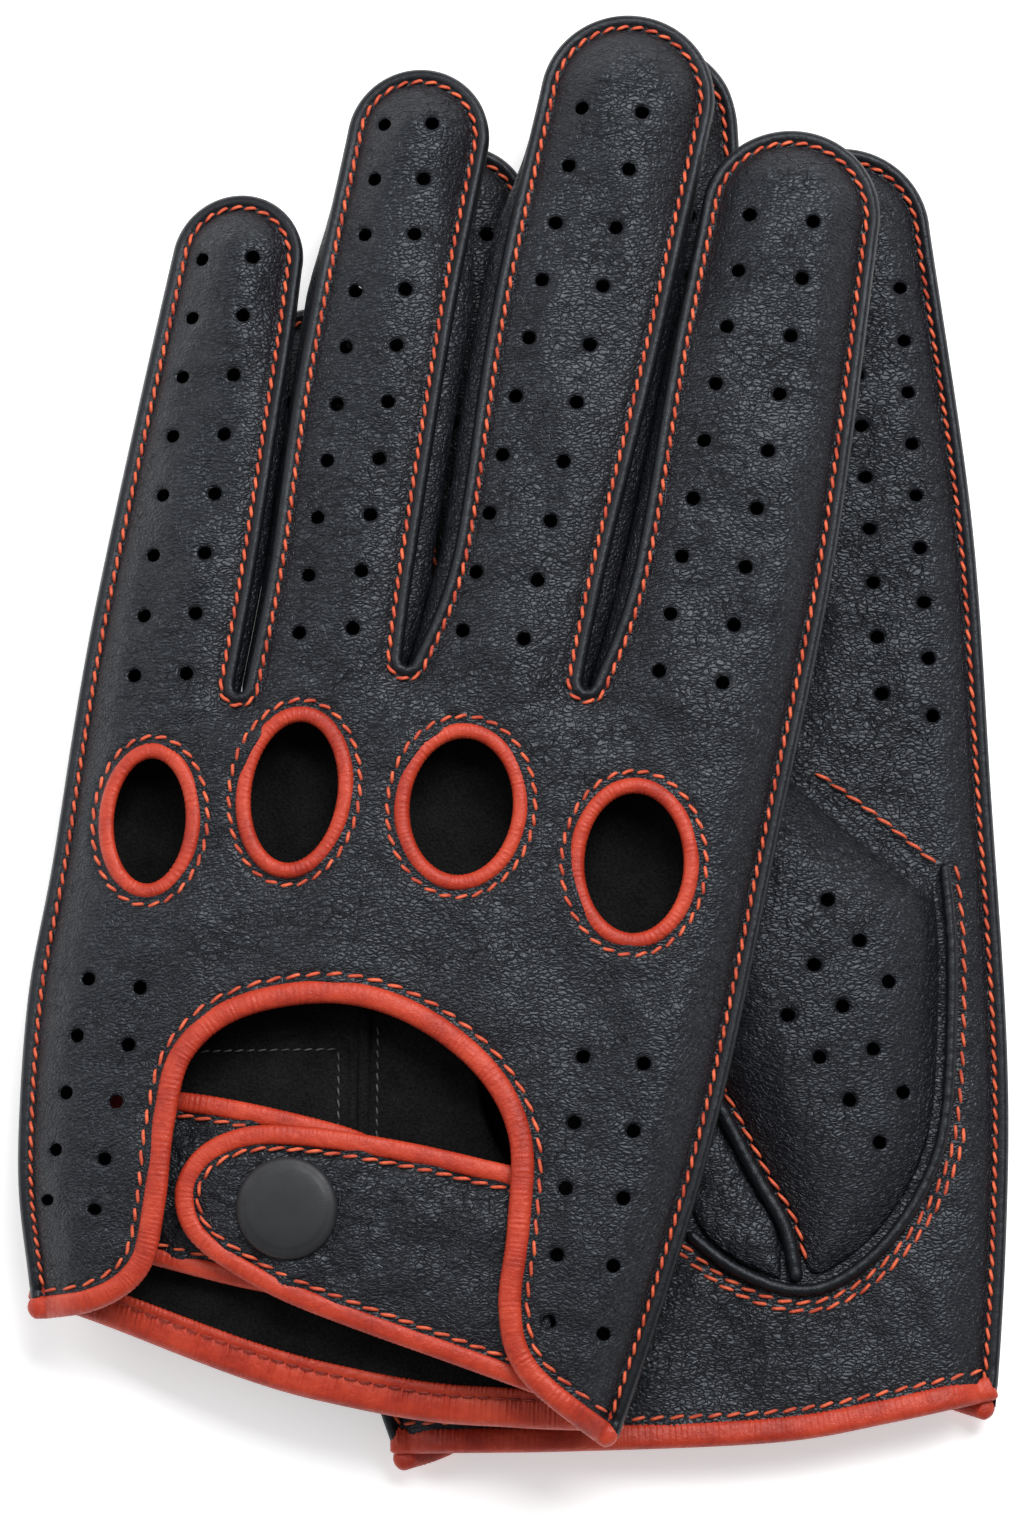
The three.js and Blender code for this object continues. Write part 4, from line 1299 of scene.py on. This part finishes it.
def snap_post():
    profile = [(0, -0.75), (3.8, -0.75), (4.7, -0.5), (4.8, -0.25), (4.6, 0), (1.1, 0), (1.1, 1.2), (0, 1.2)]
    return turned(profile, UNDERLAP_LEVEL - 0.15)


# ---- lining


def lining_level(points):
    """Depth of the palm's inner face below the seam plane."""
    return palm_top(points, detail=False) - LEATHER


def inner_patch():
    def top(points):
        return PATCH_THICKNESS - lining_level(points) - 0.12

    return leather_sheet(evened(np.array(PATCH_EDGE, float), EDGE_STEP), top, 1, thickness=PATCH_THICKNESS)


def lining_fold():
    """The pressed fold of the lining beside the patch."""
    path = spline(LINING_FOLD)
    section = section_round(1.7, 1.2, 12, 0.8)
    return swept(path, 0.35 - lining_level(path), section, wrinkle=0.03, seed=81, taper=2)


def patch_stitches():
    fine = {"pitch": 1.7, "radius": 0.15, "slant": 0.1}
    rows = []
    for points, raised in PATCH_ROWS:
        rows.append(stitch_row(spline(points), lambda p: raised - lining_level(p), **fine))
    return joined(rows)


# ---- assembly


HIDE = ("leather", "suede", "piping")
LINED = ("leather", "suede")
RED, THREAD, METAL, LINING = ("red",), ("thread",), ("metal",), ("suede",)


def glove_shapes():
    """Every piece of one glove: name, shape, materials, CAD nodes it stands for, and the part it rides
    on where that isn't the glove."""
    rows = [
        ("back_leather", back_panel(), HIDE, ["back_panel"]),
        ("palm_leather", palm_panel(), HIDE, ["palm_panel"]),
        ("cuff_tape", cuff_binding(), RED, ["cuff_binding"]),
        ("palm_hem_tape", palm_hem_binding(), RED, ["palm_hem_binding"]),
        ("thumb_front_leather", thumb_front(), HIDE, ["thumb_front"]),
        ("thumb_back_leather", thumb_back(), LINED, ["thumb_back"]),
        ("thumb_gusset_leather", thumb_gusset(), LINED, ["thumb_gusset"]),
        ("thumb_piping", welt(WELT_PATH, 61, 0.9), ("piping",), ["thumb_welt"]),
        ("gusset_piping", welt(GUSSET_WELT_PATH, 62), ("piping",), ["gusset_welt"]),
        ("upper_tab_leather", tab_shape(*UPPER_TAB), LINED, ["overlap_tab"], "strap"),
        ("upper_tab_tape", tab_binding(*UPPER_TAB, 71), RED, ["overlap_binding"], "strap"),
        ("lower_tab_leather", tab_shape(*LOWER_TAB), LINED, ["underlap_tab"], "underlap"),
        ("lower_tab_tape", tab_binding(*LOWER_TAB, 72), RED, ["underlap_binding"], "underlap"),
        ("upper_tab_stitches", tab_stitches(*UPPER_TAB), THREAD, [], "strap"),
        ("lower_tab_stitches", tab_stitches(*LOWER_TAB), THREAD, [], "underlap"),
        ("snap_cap_top", snap_cap(), ("snap",), ["snap_cap"], "strap"),
        ("snap_socket_ring", snap_socket(), METAL, ["snap_socket"], "strap"),
        ("snap_stud_top", snap_stud(), METAL, ["snap_stud"], "underlap"),
        ("snap_post_base", snap_post(), METAL, ["snap_post"], "underlap"),
        ("lining_patch", inner_patch(), LINING, ["inner_patch"]),
        ("lining_edge", lining_fold(), LINING, []),
        ("lining_stitches", patch_stitches(), ("grey_thread",), []),
        ("back_seam_stitches", seam_stitches(1, back_top, CUFF), THREAD, []),
        ("palm_seam_stitches", seam_stitches(-1, palm_top, PALM_HEM), THREAD, []),
        ("cuff_stitches", stitch_row(along_hem(CUFF, CUFF_STITCH), back_top, pitch=CUFF_PITCH), THREAD, []),
        ("palm_hem_stitches", stitch_row(along_hem(PALM_HEM, HEM_STITCH), palm_top, -1), THREAD, []),
        ("hem_band_stitches", hem_band_stitches(), ("seam_thread",), []),
        ("thumb_stitches", thumb_stitches(), THREAD, []),
    ]
    middles = [finger["tip"][0] for finger in FINGERS.values()]
    for fork, right, left in zip(FORKS, middles, middles[1:]):
        name = fork["name"]
        rows.append((f"side_wall_{name}", fourchette(right, left), ("leather",), [f"fourchette_{name}"]))
    for name, hole in KNUCKLES.items():
        loop = ellipse(**hole, grow=RING_STITCH)
        stitches = stitch_row(np.vstack([loop, loop[:1]]), back_top, pitch=RING_PITCH)
        rows.append((f"knuckle_tape_{name}", ring_binding(hole), RED, [f"knuckle_ring_{name}"]))
        rows.append((f"knuckle_stitches_{name}", stitches, THREAD, []))
    return rows


def hem_band_stitches():
    """The stitches on the inner leg of the palm's hem band, seen through the opening."""
    fine = {"pitch": SEAM_PITCH, "radius": 0.16, "slant": 0.05}
    return stitch_row(along_hem(PALM_HEM, BAND_STITCH), lambda p: 1.0 - lining_level(p), **fine)


def thumb_stitches():
    rows = [
        stitch_row(offset(spline(WELT_PATH), 1.9), palm_top, -1),
        stitch_row(offset(spline(WELT_PATH), 3.2)[80:], palm_top, -1),
        stitch_row(offset(spline(THUMB_SEAM), -2.0), thumb_top, -1),
        stitch_row(offset(spline(GUSSET_WELT_PATH), -1.8)[6:], thumb_top, -1),
    ]
    return joined(rows)


for row in glove_shapes():
    for pair_glove in GLOVES:
        pair_glove.build(*row)

# ---- stage, light and camera


def floor():
    """A large pale sheet just under the gloves, bright enough to read as white."""
    size = 3.0
    corners = [(-size, -size, 0), (size, -size, 0), (size, size, 0), (-size, size, 0)]
    mesh = bpy.data.meshes.new("floor")
    mesh.from_pydata(corners, [], [(0, 1, 2, 3)])
    plane = linked("floor", mesh)
    plane.location.z = -0.0003
    paper = Surface("pale_floor")
    paper.finish(paper.ramp(paper.noise(3), (0.3, 0.9), (0.7, 0.92)), Roughness=0.95)
    paper.shader.inputs["Emission Color"].default_value = (1, 1, 1, 1)
    paper.shader.inputs["Emission Strength"].default_value = FLOOR_GLOW
    mesh.materials.append(paper.material)


def area_light(name, at, size, power):
    light = bpy.data.lights.new(name, "AREA")
    light.shape = "SQUARE"
    light.size = size
    light.energy = power
    lamp = linked(name, light)
    lamp.location = at
    lamp.rotation_euler = (-Vector(at)).to_track_quat("-Z", "Y").to_euler()


def lights():
    world = bpy.data.worlds.new("studio")
    bpy.context.scene.world = world
    world.use_nodes = True
    background = world.node_tree.nodes["Background"]
    background.inputs["Color"].default_value = SKY_COLOR
    background.inputs["Strength"].default_value = SKY
    area_light("key", **KEY)
    area_light("fill", **FILL)


def camera():
    """Nearly overhead from the cuff side, far enough off to flatten the perspective."""
    data = bpy.data.cameras.new("camera")
    data.lens = LENS
    data.sensor_width = SENSOR
    data.clip_end = 20
    eye = linked("camera", data)
    elevation = math.radians(ELEVATION)
    back = Vector((0, -math.cos(elevation), math.sin(elevation)))
    eye.location = Vector(table_shift + AIM) * MM + back * DISTANCE
    eye.rotation_mode = "QUATERNION"
    eye.rotation_quaternion = (-back).to_track_quat("-Z", "Y")
    bpy.context.scene.camera = eye


floor()
lights()
camera()
bpy.context.scene.view_settings.view_transform = "Standard"
